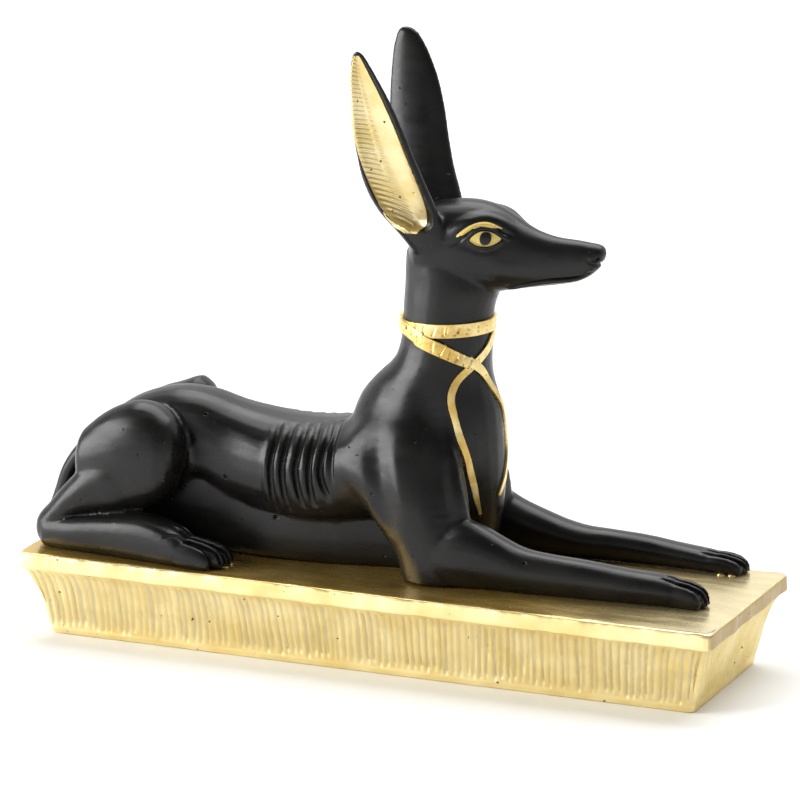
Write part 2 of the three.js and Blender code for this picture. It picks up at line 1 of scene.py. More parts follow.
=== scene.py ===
# %% [markdown]
# # A lying jackal on a fluted plinth
# The object is a shelf figure of cast resin: a slim black jackal with tall ears, stretched out on a low
# plinth. The plinth, the collar, the crossed ribbon, the ear linings and the eyes are painted gold.
# The solid model gives the sizes and the place of both castings. This lesson models them again with
# soft forms, carves the fine work and paints them.

# %% Start
import bpy
import bmesh
import json
import math
import random
import numpy as np
from mathutils import Matrix, Vector

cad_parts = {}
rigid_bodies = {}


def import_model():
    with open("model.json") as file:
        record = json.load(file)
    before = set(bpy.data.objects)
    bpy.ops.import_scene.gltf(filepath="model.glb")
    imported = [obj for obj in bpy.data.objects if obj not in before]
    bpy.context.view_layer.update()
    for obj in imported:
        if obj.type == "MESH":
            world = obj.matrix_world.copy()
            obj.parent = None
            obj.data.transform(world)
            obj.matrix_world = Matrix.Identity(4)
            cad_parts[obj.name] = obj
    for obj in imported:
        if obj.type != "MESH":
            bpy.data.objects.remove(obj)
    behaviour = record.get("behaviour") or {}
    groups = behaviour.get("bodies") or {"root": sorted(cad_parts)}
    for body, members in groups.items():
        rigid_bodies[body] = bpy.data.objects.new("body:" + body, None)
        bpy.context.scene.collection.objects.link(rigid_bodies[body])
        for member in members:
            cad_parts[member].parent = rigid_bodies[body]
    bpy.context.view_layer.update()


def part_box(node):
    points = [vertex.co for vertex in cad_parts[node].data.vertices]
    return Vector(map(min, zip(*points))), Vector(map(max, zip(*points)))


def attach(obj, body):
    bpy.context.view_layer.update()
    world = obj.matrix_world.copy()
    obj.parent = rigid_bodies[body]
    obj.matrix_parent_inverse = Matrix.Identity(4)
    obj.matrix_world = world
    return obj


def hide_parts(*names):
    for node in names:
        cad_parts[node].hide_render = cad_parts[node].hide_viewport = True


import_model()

# %% [markdown]
# The jackal lies a little askew on its plinth. All its pieces are modelled in its own frame, in
# millimetres, with x towards its nose, y towards its left and z up from its paws. At the end one matrix
# turns each piece, moves it onto the plinth and makes its millimetres into metres.

# %% The jackal's place
MM = 0.001
PLINTH_TOP = 27.5
SEAT = 0.3
TURN = math.radians(3.4)
plinth_low, plinth_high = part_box("plinth")
plinth_middle = (plinth_low.x + plinth_high.x) / 2 / MM
PLACE = Matrix.Translation(Vector((plinth_middle, 4.5, PLINTH_TOP + SEAT)) * MM)
PLACE = PLACE @ Matrix.Rotation(TURN, 4, "Z") @ Matrix.Scale(MM, 4)
print("the plinth's middle is", round(plinth_middle, 2), "mm in front of the origin")

# %% [markdown]
# An operator works on all that is selected, so each step first says what it works on. A modifier is
# applied as soon as it is set, because the next step needs the mesh that it makes. A few steps need edit
# mode, with the whole piece selected in it.

# %% Selecting and finishing
def only(*objects):
    """Select these objects and nothing else; the last one is active."""
    if bpy.context.mode != "OBJECT":
        bpy.ops.object.mode_set(mode="OBJECT")
    bpy.ops.object.select_all(action="DESELECT")
    for item in objects:
        item.select_set(True)
        bpy.context.view_layer.objects.active = item


def edit(piece):
    """Open the piece in edit mode, with all of it selected."""
    only(piece)
    bpy.ops.object.mode_set(mode="EDIT")
    bpy.ops.mesh.select_all(action="SELECT")


def turn_outwards():
    """From edit mode: turn all normals outwards and go back to object mode."""
    bpy.ops.mesh.select_all(action="SELECT")
    bpy.ops.mesh.normals_make_consistent(inside=False)
    bpy.ops.object.mode_set(mode="OBJECT")


def apply_modifier(piece, kind, **settings):
    only(piece)
    modifier = piece.modifiers.new(kind.title(), kind)
    for name, value in settings.items():
        setattr(modifier, name, value)
    bpy.ops.object.modifier_apply(modifier=modifier.name)


def set_down(piece, matrix=PLACE):
    """Bring a finished piece to its place, and leave its object at the origin, unturned and unscaled."""
    piece.matrix_world = matrix
    only(piece)
    bpy.ops.object.transform_apply(location=True, rotation=True, scale=True)
    bpy.ops.object.shade_smooth()


# %% [markdown]
# A limb is drawn as sections along it: where the section's middle is, how wide it is, and how far it
# reaches above and below. Between the drawn sections more are needed, or the limb would look faceted.
# They come from a curve that runs smoothly through the drawn values.

# %% Sections between the drawn ones
def through(rows, place, even):
    """Value at `place` (1.5 is halfway from row 1 to row 2) of a smooth curve through the rows."""
    i = min(int(place), len(rows) - 2)
    share = place - i
    p1, p2 = rows[i], rows[i + 1]
    p0 = rows[i - 1] if i else 2 * p1 - p2
    p3 = rows[i + 2] if i + 2 < len(rows) else 2 * p2 - p1
    if even:
        a = b = c = 1.0
    else:
        a, b, c = (math.sqrt(max(np.linalg.norm(q - p), 1e-6)) for p, q in ((p0, p1), (p1, p2), (p2, p3)))
    leave = ((p1 - p0) / a - (p2 - p0) / (a + b) + (p2 - p1) / b) * b
    reach = ((p2 - p1) / b - (p3 - p1) / (b + c) + (p3 - p2) / c) * b
    s2, s3 = share ** 2, share ** 3
    return ((2 * s3 - 3 * s2 + 1) * p1 + (s3 - 2 * s2 + share) * leave
            + (3 * s2 - 2 * s3) * p2 + (s3 - s2) * reach)


def sections(stations, domes=(0, 0), level=False, spacing=2.4):
    """Middles and sizes of the rings of a limb. It shrinks to a dome over `domes` at its ends."""
    rows = np.array(stations, float)
    places = np.linspace(0, len(rows) - 1, 300)
    path = np.array([through(rows[:, :3], place, False) for place in places])
    walked = np.concatenate([[0], np.cumsum(np.linalg.norm(np.diff(path, axis=0), axis=1))])
    length = walked[-1]
    quarter = [1 - math.cos(q * math.pi / 2) for q in (0.12, 0.3, 0.5, 0.72)]
    start = [domes[0] * q for q in quarter if domes[0]]
    end = [length - domes[1] * q for q in reversed(quarter) if domes[1]]
    count = max(2, round((length - sum(domes)) / spacing) + 1)
    rings = []
    for distance in start + list(np.linspace(domes[0], length - domes[1], count)) + end:
        place = np.interp(distance, walked, places)
        x, y, z = through(rows[:, :3], place, False)
        half, more, less = through(rows[:, 3:], place, True)
        for gap, dome in ((distance, domes[0]), (length - distance, domes[1])):
            if gap < dome:
                share = math.sqrt(1 - (1 - gap / dome) ** 2)
                half, more, less = half * share, more * share, less * share
        if level:
            rings.append((Vector((x + (more - less) / 2, y, z)), Vector(((more + less) / 2, half, 1))))
        else:
            rings.append((Vector((x, y, z + (more - less) / 2)), Vector((1, half, (more + less) / 2))))
    return rings


# %% [markdown]
# By hand one would add a circle, extrude it a little way along the limb, scale the new ring to the next
# section, and go on to the other end. The limb is made in just that way. A power above 2 makes the
# circle squarer before the first extrusion. What would sink into the plinth is cut off level.

# %% Drawing a limb
def limb(name, stations, power=2.0, domes=(0, 0), level=False, sides=28, cut=True):
    rings = sections(stations, domes, level)
    only()
    turn = (0, 0, 0) if level else (0, math.pi / 2, 0)
    bpy.ops.mesh.primitive_circle_add(vertices=sides, radius=1, fill_type="NGON", rotation=turn)
    piece = bpy.context.object
    piece.name = name
    bpy.ops.object.transform_apply(location=False, rotation=True, scale=False)
    for vertex in piece.data.vertices:
        vertex.co = [math.copysign(abs(value) ** (2 / power), value) for value in vertex.co]
    edit(piece)
    middle, size = rings[0]
    bpy.ops.transform.translate(value=middle)
    bpy.ops.transform.resize(value=size, center_override=middle)
    for next_middle, next_size in rings[1:]:
        bpy.ops.mesh.extrude_region_move(TRANSFORM_OT_translate={"value": next_middle - middle})
        growth = [after / before for before, after in zip(size, next_size)]
        bpy.ops.transform.resize(value=growth, center_override=next_middle)
        middle, size = next_middle, next_size
    if cut:
        bpy.ops.mesh.select_all(action="SELECT")
        bpy.ops.mesh.bisect(plane_co=(0, 0, 0), plane_no=(0, 0, 1), use_fill=True, clear_inner=True)
    turn_outwards()
    return piece


def on_side(stations, side):
    """Stations drawn for the left side (1), set on that side or the right one (-1)."""
    return [(x, y * side, *rest) for x, y, *rest in stations]


# %% [markdown]
# The trunk runs level from the rump to the breast. It is deep over the hips and the chest and thin at
# the waist. A web fills the place between the belly and the plinth, set in from the flanks.

# %% Trunk and web
TRUNK = [
    (-104, 0, 27, 6, 4, 13), (-97, 0, 27, 10.5, 12, 17), (-88, 0, 28, 13.5, 17.3, 20),
    (-76, 0, 30, 14.5, 19, 20), (-65, 0, 31.5, 14.4, 17.2, 14), (-54, 0, 29, 15.6, 16.7, 16.2),
    (-42, 0, 27, 18.4, 16.6, 15.8), (-30, 0, 26.2, 20.4, 16.7, 15.8), (-18, 0, 27, 20.8, 17, 15.8),
    (-6, 0, 29, 19.6, 18, 15.8), (8, 0, 33, 17, 16, 20), (20, 0, 34, 13, 13, 24),
]
WEB = [
    (-92, 0, 8, 9, 18, 12), (-76, 0, 8, 11, 24, 12), (-60, 0, 8, 12.8, 22, 12), (-42, 0, 8, 14.6, 12, 12),
    (-22, 0, 8, 14.6, 12, 12), (-4, 0, 8, 12, 12, 12), (24, 0, 8, 9, 14, 12),
]
parts = [
    limb("trunk", TRUNK, power=2.4, domes=(5, 0)),
    limb("web", WEB, power=4),
]
print("trunk:", len(parts[0].data.vertices), "points")

# %% [markdown]
# The neck stands up from the breast, so its rings lie level. The head's rings stand across the muzzle,
# which tapers to a blunt nose.

# %% Neck and head
NECK = [
    (8, 0, 10, 10, 22, 10), (8, 0, 22, 13, 24, 16), (8, 0, 35, 17.5, 24.1, 22),
    (8, 0, 45, 18.4, 23.6, 24.5), (9, 0, 52, 17.4, 21.6, 23.4), (10.6, 0, 59, 15.6, 17.8, 19.4),
    (12.4, 0, 64.5, 14.2, 15.2, 15.6), (13.4, 0, 70, 13.2, 14.4, 14.4), (13.8, 0, 77, 12.8, 14.2, 14),
    (14, 0, 83, 12.5, 14.6, 14), (14.6, 0, 89, 12.2, 15.8, 14.2), (14, 0, 96, 11.4, 13, 13.4),
    (13, 0, 103, 10, 12, 12),
]
HEAD = [
    (2, 0, 101, 8, 8.5, 9), (9, 0, 102.5, 11.3, 11.5, 14), (19, 0, 103, 12, 12.8, 15),
    (28, 0, 102, 10.8, 13, 14.5), (35, 0, 100.6, 8.6, 11.2, 12), (41, 0, 99.8, 6.9, 8.4, 10),
    (48, 0, 99.2, 5.7, 6.9, 8.2), (56, 0, 99.4, 4.9, 6.1, 6.6), (60.5, 0, 100.3, 4.2, 4.6, 4.8),
    (64.3, 0, 102, 3.3, 2.7, 2.3),
]
parts += [
    limb("neck", NECK, domes=(0, 4), level=True),
    limb("head", HEAD, power=2.1, domes=(4, 2.5)),
]
print("head and neck drawn")

# %% [markdown]
# Both pairs of legs are drawn for the left side and set on either side of the body. The left forearm
# is slimmer than the right one, as on many figures that are modelled by hand.

# %% Forelegs
SHOULDER = [
    (8, 5, 59, 5, 8, 10), (6, 10, 50.5, 7.8, 13, 14), (4, 13.6, 43, 8.8, 18, 17),
    (4, 16.2, 34, 9.4, 20, 19.5), (8.5, 18.2, 26, 9, 18, 18), (13, 19.6, 17, 8.1, 15, 15.8),
    (15, 20.2, 8, 7.5, 12.4, 11), (15, 20.4, -2, 7.2, 12, 8),
]
RIGHT_FOREARM = [
    (9, 19.8, 8, 5.5, 7, 9), (16, 20.5, 8.6, 6.9, 9.6, 10), (24, 20.8, 9, 7.2, 11.6, 10.5),
    (31, 20.7, 8.6, 7, 10.8, 10), (38, 20.6, 7.5, 6.6, 8.6, 8.5), (45, 20.5, 6.5, 6.3, 6.5, 7.5),
    (53, 20.4, 6.2, 6, 5.6, 7.2), (65, 20.3, 5.8, 5.8, 5.1, 6.8), (79, 20, 5.2, 5.8, 4.3, 6.2),
    (91, 19.4, 4.7, 6, 3.8, 5.6), (97, 19.2, 3.8, 5.6, 3.2, 4.6),
]
LEFT_FOREARM = [
    (9, 19.8, 8, 5.5, 7, 9), (16, 21, 8.4, 6.9, 9.6, 10), (24, 21.8, 8.4, 7.2, 10.8, 10),
    (31, 22, 8, 7, 7.9, 9.5), (38, 22, 7, 6.6, 6.2, 8.5), (45, 22, 6, 6.2, 4.8, 7),
    (52, 21.8, 5.2, 5.8, 4.2, 6.2), (60, 21.8, 5, 5.3, 4, 6), (72, 21.4, 4.7, 5.2, 3.6, 5.6),
    (82, 20.9, 4.2, 5.2, 2.9, 5), (91, 20.3, 3.8, 5.3, 2.4, 4.6), (98.5, 19.9, 3.1, 5.2, 2, 4),
]
for side in (1, -1):
    forearm = LEFT_FOREARM if side > 0 else RIGHT_FOREARM
    parts += [
        limb("shoulder", on_side(SHOULDER, side), domes=(5, 0), level=True),
        limb("forearm", on_side(forearm, side), power=2.3, domes=(3, 5)),
    ]
print("forelegs drawn")

# %% [markdown]
# A hind leg is folded: the haunch is one deep egg, the shank runs back from it to the hock, and the long
# foot lies flat on the plinth and points forwards. The left haunch stands higher in front, and the left
# foot lies nearer to the middle.

# %% Hind legs
HAUNCH = [
    (-102.6, 17.5, 28.5, 5, 6, 6), (-99.5, 17.3, 27.8, 7.5, 10, 12), (-94, 17, 27.5, 9.4, 15, 15),
    (-88, 16.8, 28.4, 10.5, 17.5, 17), (-82, 16.7, 29.8, 11, 17.9, 17.4),
    (-76.5, 16.7, 31.2, 11, 16, 17), (-71.8, 16.9, 32.4, 10.6, 12.6, 15.5),
    (-66.2, 17.3, 33, 9.4, 10.5, 13),
]
SHANK = [
    (-115.5, 20, 6, 3.6, 3, 6), (-112, 20.3, 7, 4.8, 5, 7), (-107, 20.6, 10.4, 5.6, 7.6, 6),
    (-102, 20.6, 14, 6.4, 9.4, 5), (-95, 20.4, 18.5, 7.2, 11.5, 7.5), (-86, 19.6, 22, 7.8, 13, 9.8),
    (-77, 16.8, 25, 6.4, 13, 10.5), (-71, 14, 27, 4, 10, 10),
]
HIND_FOOT = [
    (-114, 20, 5, 5.2, 4.2, 6), (-104, 21.8, 5.4, 6.1, 4.8, 6.6), (-90, 23.6, 6.2, 6.5, 6.2, 7.2),
    (-76, 25.6, 6.4, 6.8, 7.2, 7.6), (-66, 27.2, 5.6, 7, 5.8, 6.8), (-59, 28, 4.2, 6.8, 3.8, 5),
]
LEFT_HAUNCH = [
    (-101.2, 17.5, 28.5, 5, 4.6, 6), (-98.1, 17.3, 27.8, 7.5, 8.6, 12), (-92.6, 17, 27.5, 9.4, 13.4, 15),
    (-86.6, 16.8, 28.4, 10.5, 15.6, 17), (-80.6, 16.7, 29.8, 11, 16.2, 17.4), (-76, 16.7, 31, 11, 16.9, 17),
    (-72.2, 16.9, 32.2, 10.6, 15.8, 15.5), (-67.5, 17.3, 33, 9.4, 11.4, 13),
]
LEFT_INSET = 2.4
feet = {}
for side in (1, -1):
    haunch, foot = HAUNCH, HIND_FOOT
    if side > 0:
        haunch = LEFT_HAUNCH
        foot = [(x, y - LEFT_INSET, *rest) for x, y, *rest in HIND_FOOT]
    feet[side] = foot
    parts += [
        limb("haunch", on_side(haunch, side), power=2.2, domes=(3, 7)),
        limb("shank", on_side(SHANK, side), domes=(3, 4)),
        limb("hind foot", on_side(foot, side), power=2.7, domes=(3, 5)),
    ]
print("hind legs drawn")

# %% [markdown]
# Each paw ends in four slim toes. They are short limbs of their own that start inside the foot. The
# middle toes reach furthest, and on a hind paw the inner toes reach further than the outer ones.

# %% Toes
TOE_COUNT = 4
TOE_RELIEF = 0.7
TOE_ROOT = 9
FORE_REACH, FORE_SLANT = 7, 0
HIND_REACH, HIND_SLANT = 9, 4


def toe_line(foot, reach, slant, across):
    """For a toe `across` the paw (from -1 to 1): its half width, its place, how full it is and its tip."""
    x, y, _, half = foot[-1][:4]
    toe_half = 1.15 * half / TOE_COUNT
    full = 1 - 0.25 * across ** 2
    return toe_half, y + across * (half - toe_half), full, x + reach * full + slant * (1 - across) / 2


def toes(foot, side, reach, slant):
    """Toes in front of a foot's last station; the innermost one reaches further by `slant`."""
    x, _, z, _, up = foot[-1][:5]
    made = []
    for i in range(TOE_COUNT):
        toe_half, place, full, tip = toe_line(foot, reach, slant, 2 * i / (TOE_COUNT - 1) - 1)
        top = z + up * full
        made.append(limb("toe", on_side([
            (x - TOE_ROOT, place, z, toe_half * 0.6, up * 0.6, z * 0.5),
            (x - TOE_ROOT / 3, place, z, toe_half, top - z + TOE_RELIEF, z),
            ((x + tip) / 2, place, z * 0.75, toe_half, top * 0.8 - z * 0.75 + TOE_RELIEF, z),
            (tip, place, z * 0.5, toe_half * 0.9, (top - z) / 2 + TOE_RELIEF, z),
        ], side), domes=(0, 2.4), sides=12))
    return made


paws = []
for side in (1, -1):
    paws.append((LEFT_FOREARM if side > 0 else RIGHT_FOREARM, side, FORE_REACH, FORE_SLANT))
    paws.append((feet[side], side, HIND_REACH, HIND_SLANT))
for paw in paws:
    parts += toes(*paw)
print("parts so far:", len(parts))

# %% [markdown]
# The tail comes down behind the hindquarters and hangs over the plinth's end. Its rings lie level and
# it isn't cut, because it reaches below the plinth's top.

# %% Tail
TAIL = [
    (-100, 0, 31, 4.2, 6, 6), (-106.6, 0, 26, 3.6, 4.2, 4.2), (-112, 0, 19, 3.1, 3.2, 3.2),
    (-115, 0, 11, 2.8, 2.9, 2.9), (-118.4, 0, 1.5, 2.8, 2.8, 2.8), (-118.4, 0, -9, 2.9, 2.7, 2.7),
    (-118.4, 0, -18, 2.2, 2.1, 2.1),
]
parts.append(limb("tail", TAIL, domes=(0, 5), level=True, sides=16, cut=False))
print("tail drawn")

# %% [markdown]
# An ear is a leaf that leans back and outwards. A second, smaller leaf is taken away from its outer
# side with a boolean, which leaves a hollow with a rim. The left ear is broader and blunter at its tip.

# %% Ears
EAR = [
    (12, 8, 98, 3, 5, 5), (9.2, 9.6, 105, 3.8, 7.4, 7.4), (4.7, 11.3, 113, 3.8, 9.8, 9.8),
    (1.1, 13.3, 122, 3.4, 10.1, 10.1), (-1.2, 15.4, 131, 3, 9.2, 9.2), (-3.1, 17.4, 140, 2.6, 8, 8),
    (-4.8, 19.3, 149, 2.2, 6.1, 6.1), (-6.5, 21.2, 157.5, 1.7, 3.7, 3.7),
    (-7.6, 22.4, 163.7, 1, 1.4, 1.4),
]
LEFT_EAR = EAR[:4] + [
    (-1.2, 15.4, 131, 3, 9.9, 9.2), (-3.1, 17.4, 140, 2.6, 9.7, 8.2), (-4.8, 19.3, 149, 2.2, 8.5, 6.8),
    (-6.5, 21.2, 157.5, 1.8, 5.9, 4.8), (-7.6, 22.4, 163.4, 1.3, 2.7, 2.3),
]
for side in (1, -1):
    rows = LEFT_EAR if side > 0 else EAR
    inner = [(x - 0.06 * front, y + 2, z + 2, half * 0.95, front * 0.82, back * 0.82)
             for x, y, z, half, front, back in rows[1:]]
    leaf = limb("ear", on_side(rows, side), domes=(0, 2), level=True)
    hollow = limb("hollow", on_side(inner, side), domes=(5, 2), level=True)
    apply_modifier(leaf, "BOOLEAN", operation="DIFFERENCE", object=hollow, solver="EXACT")
    bpy.data.objects.remove(hollow)
    parts.append(leaf)
print("ear:", len(leaf.data.vertices), "points")

# %% [markdown]
# All limbs are joined and a voxel remesh makes one skin over them, without the parts that lie inside
# each other. Smoothing then rounds the creases where one limb meets the next, as a modeller's thumb
# would. The ears and paws are thin, so they are smoothed less.

# %% One skin
VOXEL = 0.7


def points_of(piece):
    found = np.empty(len(piece.data.vertices) * 3)
    piece.data.vertices.foreach_get("co", found)
    return found.reshape(-1, 3)


LEAST_WEIGHT = 0.003


def by_weight(piece, weights, kind, **settings):
    """Paint the weights on the piece as a vertex group, and apply a modifier that follows them."""
    group = piece.vertex_groups.new(name="weight")
    for i in np.nonzero(weights > LEAST_WEIGHT)[0]:
        group.add([int(i)], float(weights[i]), "REPLACE")
    apply_modifier(piece, kind, vertex_group=group.name, **settings)
    piece.vertex_groups.remove(piece.vertex_groups[0])


def smooth(piece, weights, times):
    by_weight(piece, weights, "SMOOTH", factor=0.5, iterations=times)


only(*parts)
bpy.ops.object.join()
jackal = bpy.context.object
jackal.name = "jackal_body"
jackal.data.remesh_voxel_size = VOXEL
jackal.data.remesh_voxel_adaptivity = 0
bpy.ops.object.voxel_remesh()
forwards, _, height = points_of(jackal).T
ears = height > 116
forepaws = (height < 13) & (forwards > 28)
hind_paws = (height < 12) & (forwards < -50)
smooth(jackal, np.where(ears | forepaws | hind_paws, 0.35, 1.0), 12)
print("skin:", len(jackal.data.vertices), "points")

# %% [markdown]
# Carving works on lines that lie on the skin. Each point near a line gets a weight that fades to nothing
# at the line's own radius, and a Displace modifier moves the skin by that weight: inwards for a groove
# and outwards for a ridge. Fine lines first need more points, so the skin is subdivided round them.

# %% Carving
def near_lines(piece, lines, radius):
    """Weight of each point: the line's own strength on the line, fading to 0 at the radius."""
    place = points_of(piece)
    weights = np.zeros(len(place))
    for line in lines:
        line = np.array([(*point, 1)[:4] for point in line], float)
        for a, b in zip(line, line[1:]):
            low = np.minimum(a, b)[:3] - radius
            high = np.maximum(a, b)[:3] + radius
            near = np.nonzero(((place > low) & (place < high)).all(axis=1))[0]
            step = b[:3] - a[:3]
            offset = place[near] - a[:3]
            share = np.clip(offset @ step / max(step @ step, 1e-9), 0, 1)
            gap = np.linalg.norm(offset - share[:, None] * step, axis=1)
            strength = a[3] + share * (b[3] - a[3])
            fade = np.clip(1 - (gap / radius) ** 2, 0, 1) ** 2
            weights[near] = np.maximum(weights[near], strength * fade)
    return weights


def snapped(piece, line):
    """The line's points moved onto the skin; a fourth value, the strength, is kept."""
    return [(*piece.closest_point_on_mesh(point[:3])[1], *point[3:]) for point in line]


def rounded(line, count=4):
    """A smooth line through the drawn points."""
    rows = np.array([(*point, 1)[:4] for point in line], float)
    return [tuple(through(rows, i / count, True)) for i in range(count * (len(rows) - 1) + 1)]


def displace(piece, weights, distance):
    by_weight(piece, weights, "DISPLACE", strength=distance, mid_level=0)


def pick(piece, chosen):
    """Select the chosen points and nothing else, and stay in edit mode."""
    edit(piece)
    bpy.ops.mesh.select_mode(type="VERT")
    bpy.ops.mesh.select_all(action="DESELECT")
    bpy.ops.object.mode_set(mode="OBJECT")
    piece.data.vertices.foreach_set("select", chosen)
    bpy.ops.object.mode_set(mode="EDIT")


def refine(piece, lines, radius):
    """Subdivide the faces round the lines."""
    pick(piece, near_lines(piece, lines, radius) > 0)
    bpy.ops.mesh.select_more()
    bpy.ops.mesh.subdivide(number_cuts=1)
    bpy.ops.object.mode_set(mode="OBJECT")


def carve(piece, lines, radius, distance, finer=0):
    """Raise (or with a distance below 0 sink) the skin along lines, after `finer` subdivisions."""
    lines = [snapped(piece, rounded(line)) for line in lines]
    for _ in range(finer):
        refine(piece, lines, radius * 1.4 + 0.3)
    displace(piece, near_lines(piece, lines, radius), distance)


def both(lines):
    """Lines drawn on the right side, and the same lines on the left side."""
    return lines + [[(x, -y, *rest) for x, y, *rest in line] for line in lines]


def shifted(line, forwards=0, up=0):
    return [(x + forwards, y, z + up, *rest) for x, y, z, *rest in line]


# %% [markdown]
# The shoulder runs into the neck and the flank without a seam, so the skin is smoothed much more there.
# Then long soft ridges and hollows are raised and sunk for the muscles of the upper arm.

# %% Shoulders
SEAM_RADIUS = 11
SEAMS = [
    [(-13.1, -12.5, 42.8, 0.7), (-12.6, -8.3, 47.2), (-8.3, -11.3, 51.5), (-1.7, -14.3, 53.8),
     (5.6, -16.5, 54), (13.2, -17.1, 51.3), (18.2, -16.5, 45.9, 0.6)],
    [(-12.6, -10, 46.5, 0.3), (-13.7, -15.3, 40.9, 0.5), (-13.5, -18.5, 35.4), (-11.6, -20.4, 30.3),
     (-9, -20, 23.7, 0.8), (-6, -20, 19, 0.2)],
]
for _ in range(3):
    seams = both([snapped(jackal, line) for line in SEAMS])
    smooth(jackal, near_lines(jackal, seams, SEAM_RADIUS), 90)
HOLLOWS = [
    [(14.1, -15.9, 56.2, 0), (16.5, -17.2, 47.2, 0.8), (18.2, -22.1, 36), (19.9, -24.9, 25.9),
     (21.5, -26, 16.8, 0.2)],
    [(-4.2, -19.1, 45.9, 0), (-0.3, -24.5, 36.5, 0.8), (2.3, -26.4, 26.2), (4.6, -25.6, 13.5, 0.2)],
]
MUSCLES = [
    [(21.4, -15.4, 48.8, 0), (22.5, -16.9, 38.2, 0.8), (24.3, -20.1, 29.7), (26.7, -21.5, 20.2, 0.3)],
    [(7.2, -14.7, 61.6, 0), (5.4, -16.8, 52.5, 0.7), (6.8, -22.7, 41.4), (7.4, -26.3, 29.8, 0.9),
     (11, -27.4, 17.8, 0.2)],
    [(-11.2, -17.8, 41.8, 0.2), (-9.8, -21.7, 34.9), (-5.6, -24.2, 28.7), (-1.5, -25, 22.3, 0.3)],
]
for lines, radius, distance in (
    (SEAMS[1:], 8, 1.1), (HOLLOWS, 6.5, -1.3),
    (MUSCLES[:1], 5.5, 1.1), (MUSCLES[1:2], 8.5, 0.9), (MUSCLES[2:], 7, 0.5),
):
    carve(jackal, both(lines), radius, distance)
print("shoulders smoothed and modelled")

# %% [markdown]
# Six grooves show the ribs on each flank. They run nearly upright, with their lower ends a little further
# forward, and fade out at both ends. The foremost one is shorter. A low ridge runs behind each groove.

# %% Ribs
RIBS = [
    [(-38, -8, 42.4, 0.1), (-37.1, -15, 38.7, 0.9), (-37.6, -18.2, 33.7), (-37.6, -19.2, 28.9),
     (-37.3, -19.3, 23.8), (-36.7, -17.4, 18, 0.6), (-36.2, -16.6, 16, 0)],
    [(-33.4, -8, 42.6, 0.1), (-33.2, -15, 39.1, 0.8), (-33.5, -18.5, 34.2), (-33.7, -19.8, 30.3),
     (-33.1, -19.8, 24.3), (-31.9, -17.9, 18.5, 0.7), (-31.4, -17, 16.6, 0)],
    [(-29.4, -6, 42.9, 0), (-28.6, -14.1, 39.9, 0.8), (-28.7, -18.3, 35.2), (-29.1, -20, 30.8),
     (-28.2, -19.8, 25.4), (-26.9, -18.6, 20.6, 0.7), (-26.2, -18, 18.4, 0)],
    [(-25.9, -5, 43.3, 0), (-24.6, -14.2, 40.3, 0.8), (-24.7, -18.4, 35.6), (-24.5, -19.9, 31.9),
     (-24.2, -19.9, 26.5), (-23.2, -19, 21.2, 0.6), (-22.8, -18.6, 19.6, 0)],
    [(-21.8, -5, 43.8, 0.1), (-20.2, -13.6, 41.1, 0.8), (-20.3, -18, 37.1), (-20.8, -20.1, 31.6),
     (-20, -19.8, 27.5, 0.9), (-18.8, -19.5, 24.3, 0.5), (-18.2, -19, 22, 0)],
    [(-19, -5, 43.9, 0.2), (-17.9, -13.7, 41, 0.7), (-17.2, -18.4, 36, 0.8), (-16.7, -19.8, 30.6, 0.4),
     (-16.6, -19.8, 27, 0)],
]
BEHIND = -1.9
carve(jackal, both([shifted(line, forwards=BEHIND) for line in RIBS]), 1.9, 0.45)
carve(jackal, both(RIBS), 1.45, -1.35, finer=1)
print("ribs carved")

# %% [markdown]
# The face is finer than the body. It has a brow ridge over each eye, a cheek bone, lids that frame the
# eye, a line for the mouth between two lips, nostrils and a small step under the nose.

# %% Face
BROW = [(18.5, -12.2, 106.5, 0.1), (21.5, -11.2, 109, 0.7), (25.5, -9.6, 111.2), (29.5, -8, 112),
        (33, -6.8, 111, 0.9), (36.5, -5.8, 108, 0.2)]
CHEEK = [(30, -9.4, 100, 0.2), (33, -8, 97, 1), (38, -6.4, 96, 0.6), (46, -4.8, 96, 0.2)]
UPPER_LID = [(22.6, -11.6, 105.3, 0.2), (24.3, -11.2, 106.6, 0.9), (26.2, -10.4, 108.4), (28.6, -9.6, 109),
             (31.2, -8.9, 108.6), (33.4, -8.2, 107, 0.9), (35.6, -7.4, 105.8, 0.3)]
LOWER_LID = [(24.3, -11.2, 105, 0.5), (26.2, -11, 103.9), (28.8, -10.4, 103.3), (31.4, -9.5, 103.9),
             (33.6, -8.4, 105.2, 0.5)]
CREASE = [(18.8, -11.9, 103.9, 0.2), (20.8, -11.8, 104.8, 0.7), (22.6, -11.4, 106.7), (25.2, -10.2, 109.4),
          (28.6, -9, 110.2), (31.6, -8.2, 109.6), (34.4, -7.3, 107.8, 0.7), (37.6, -6.3, 106.4, 0)]
UNDER = [(20.8, -12, 103.6, 0), (24, -11.6, 103.2, 0.7), (28.6, -10.8, 101.9, 1), (33, -9.2, 103.2, 0.6),
         (36, -8, 105, 0)]
MOUTH = [(60.8, -3, 96.6, 0), (57.3, -3.1, 95.2, 0.8), (52.7, -3.7, 94.3), (48.1, -4, 93.8),
         (43.4, -4.2, 92.8), (38.9, -4.3, 91.5), (36.4, -4.3, 90.6), (35, -4.4, 90.9, 0.9),
         (34.4, -4.6, 91.8, 0.2)]
NOSTRIL = [(62.9, -3, 101.2), (62.2, -3.4, 100.7)]
UNDER_NOSE = [(63.6, 0, 98.6), (63, -1.8, 98.6), (61.6, -3.3, 99.2), (59.8, -4, 100.3, 0.2)]
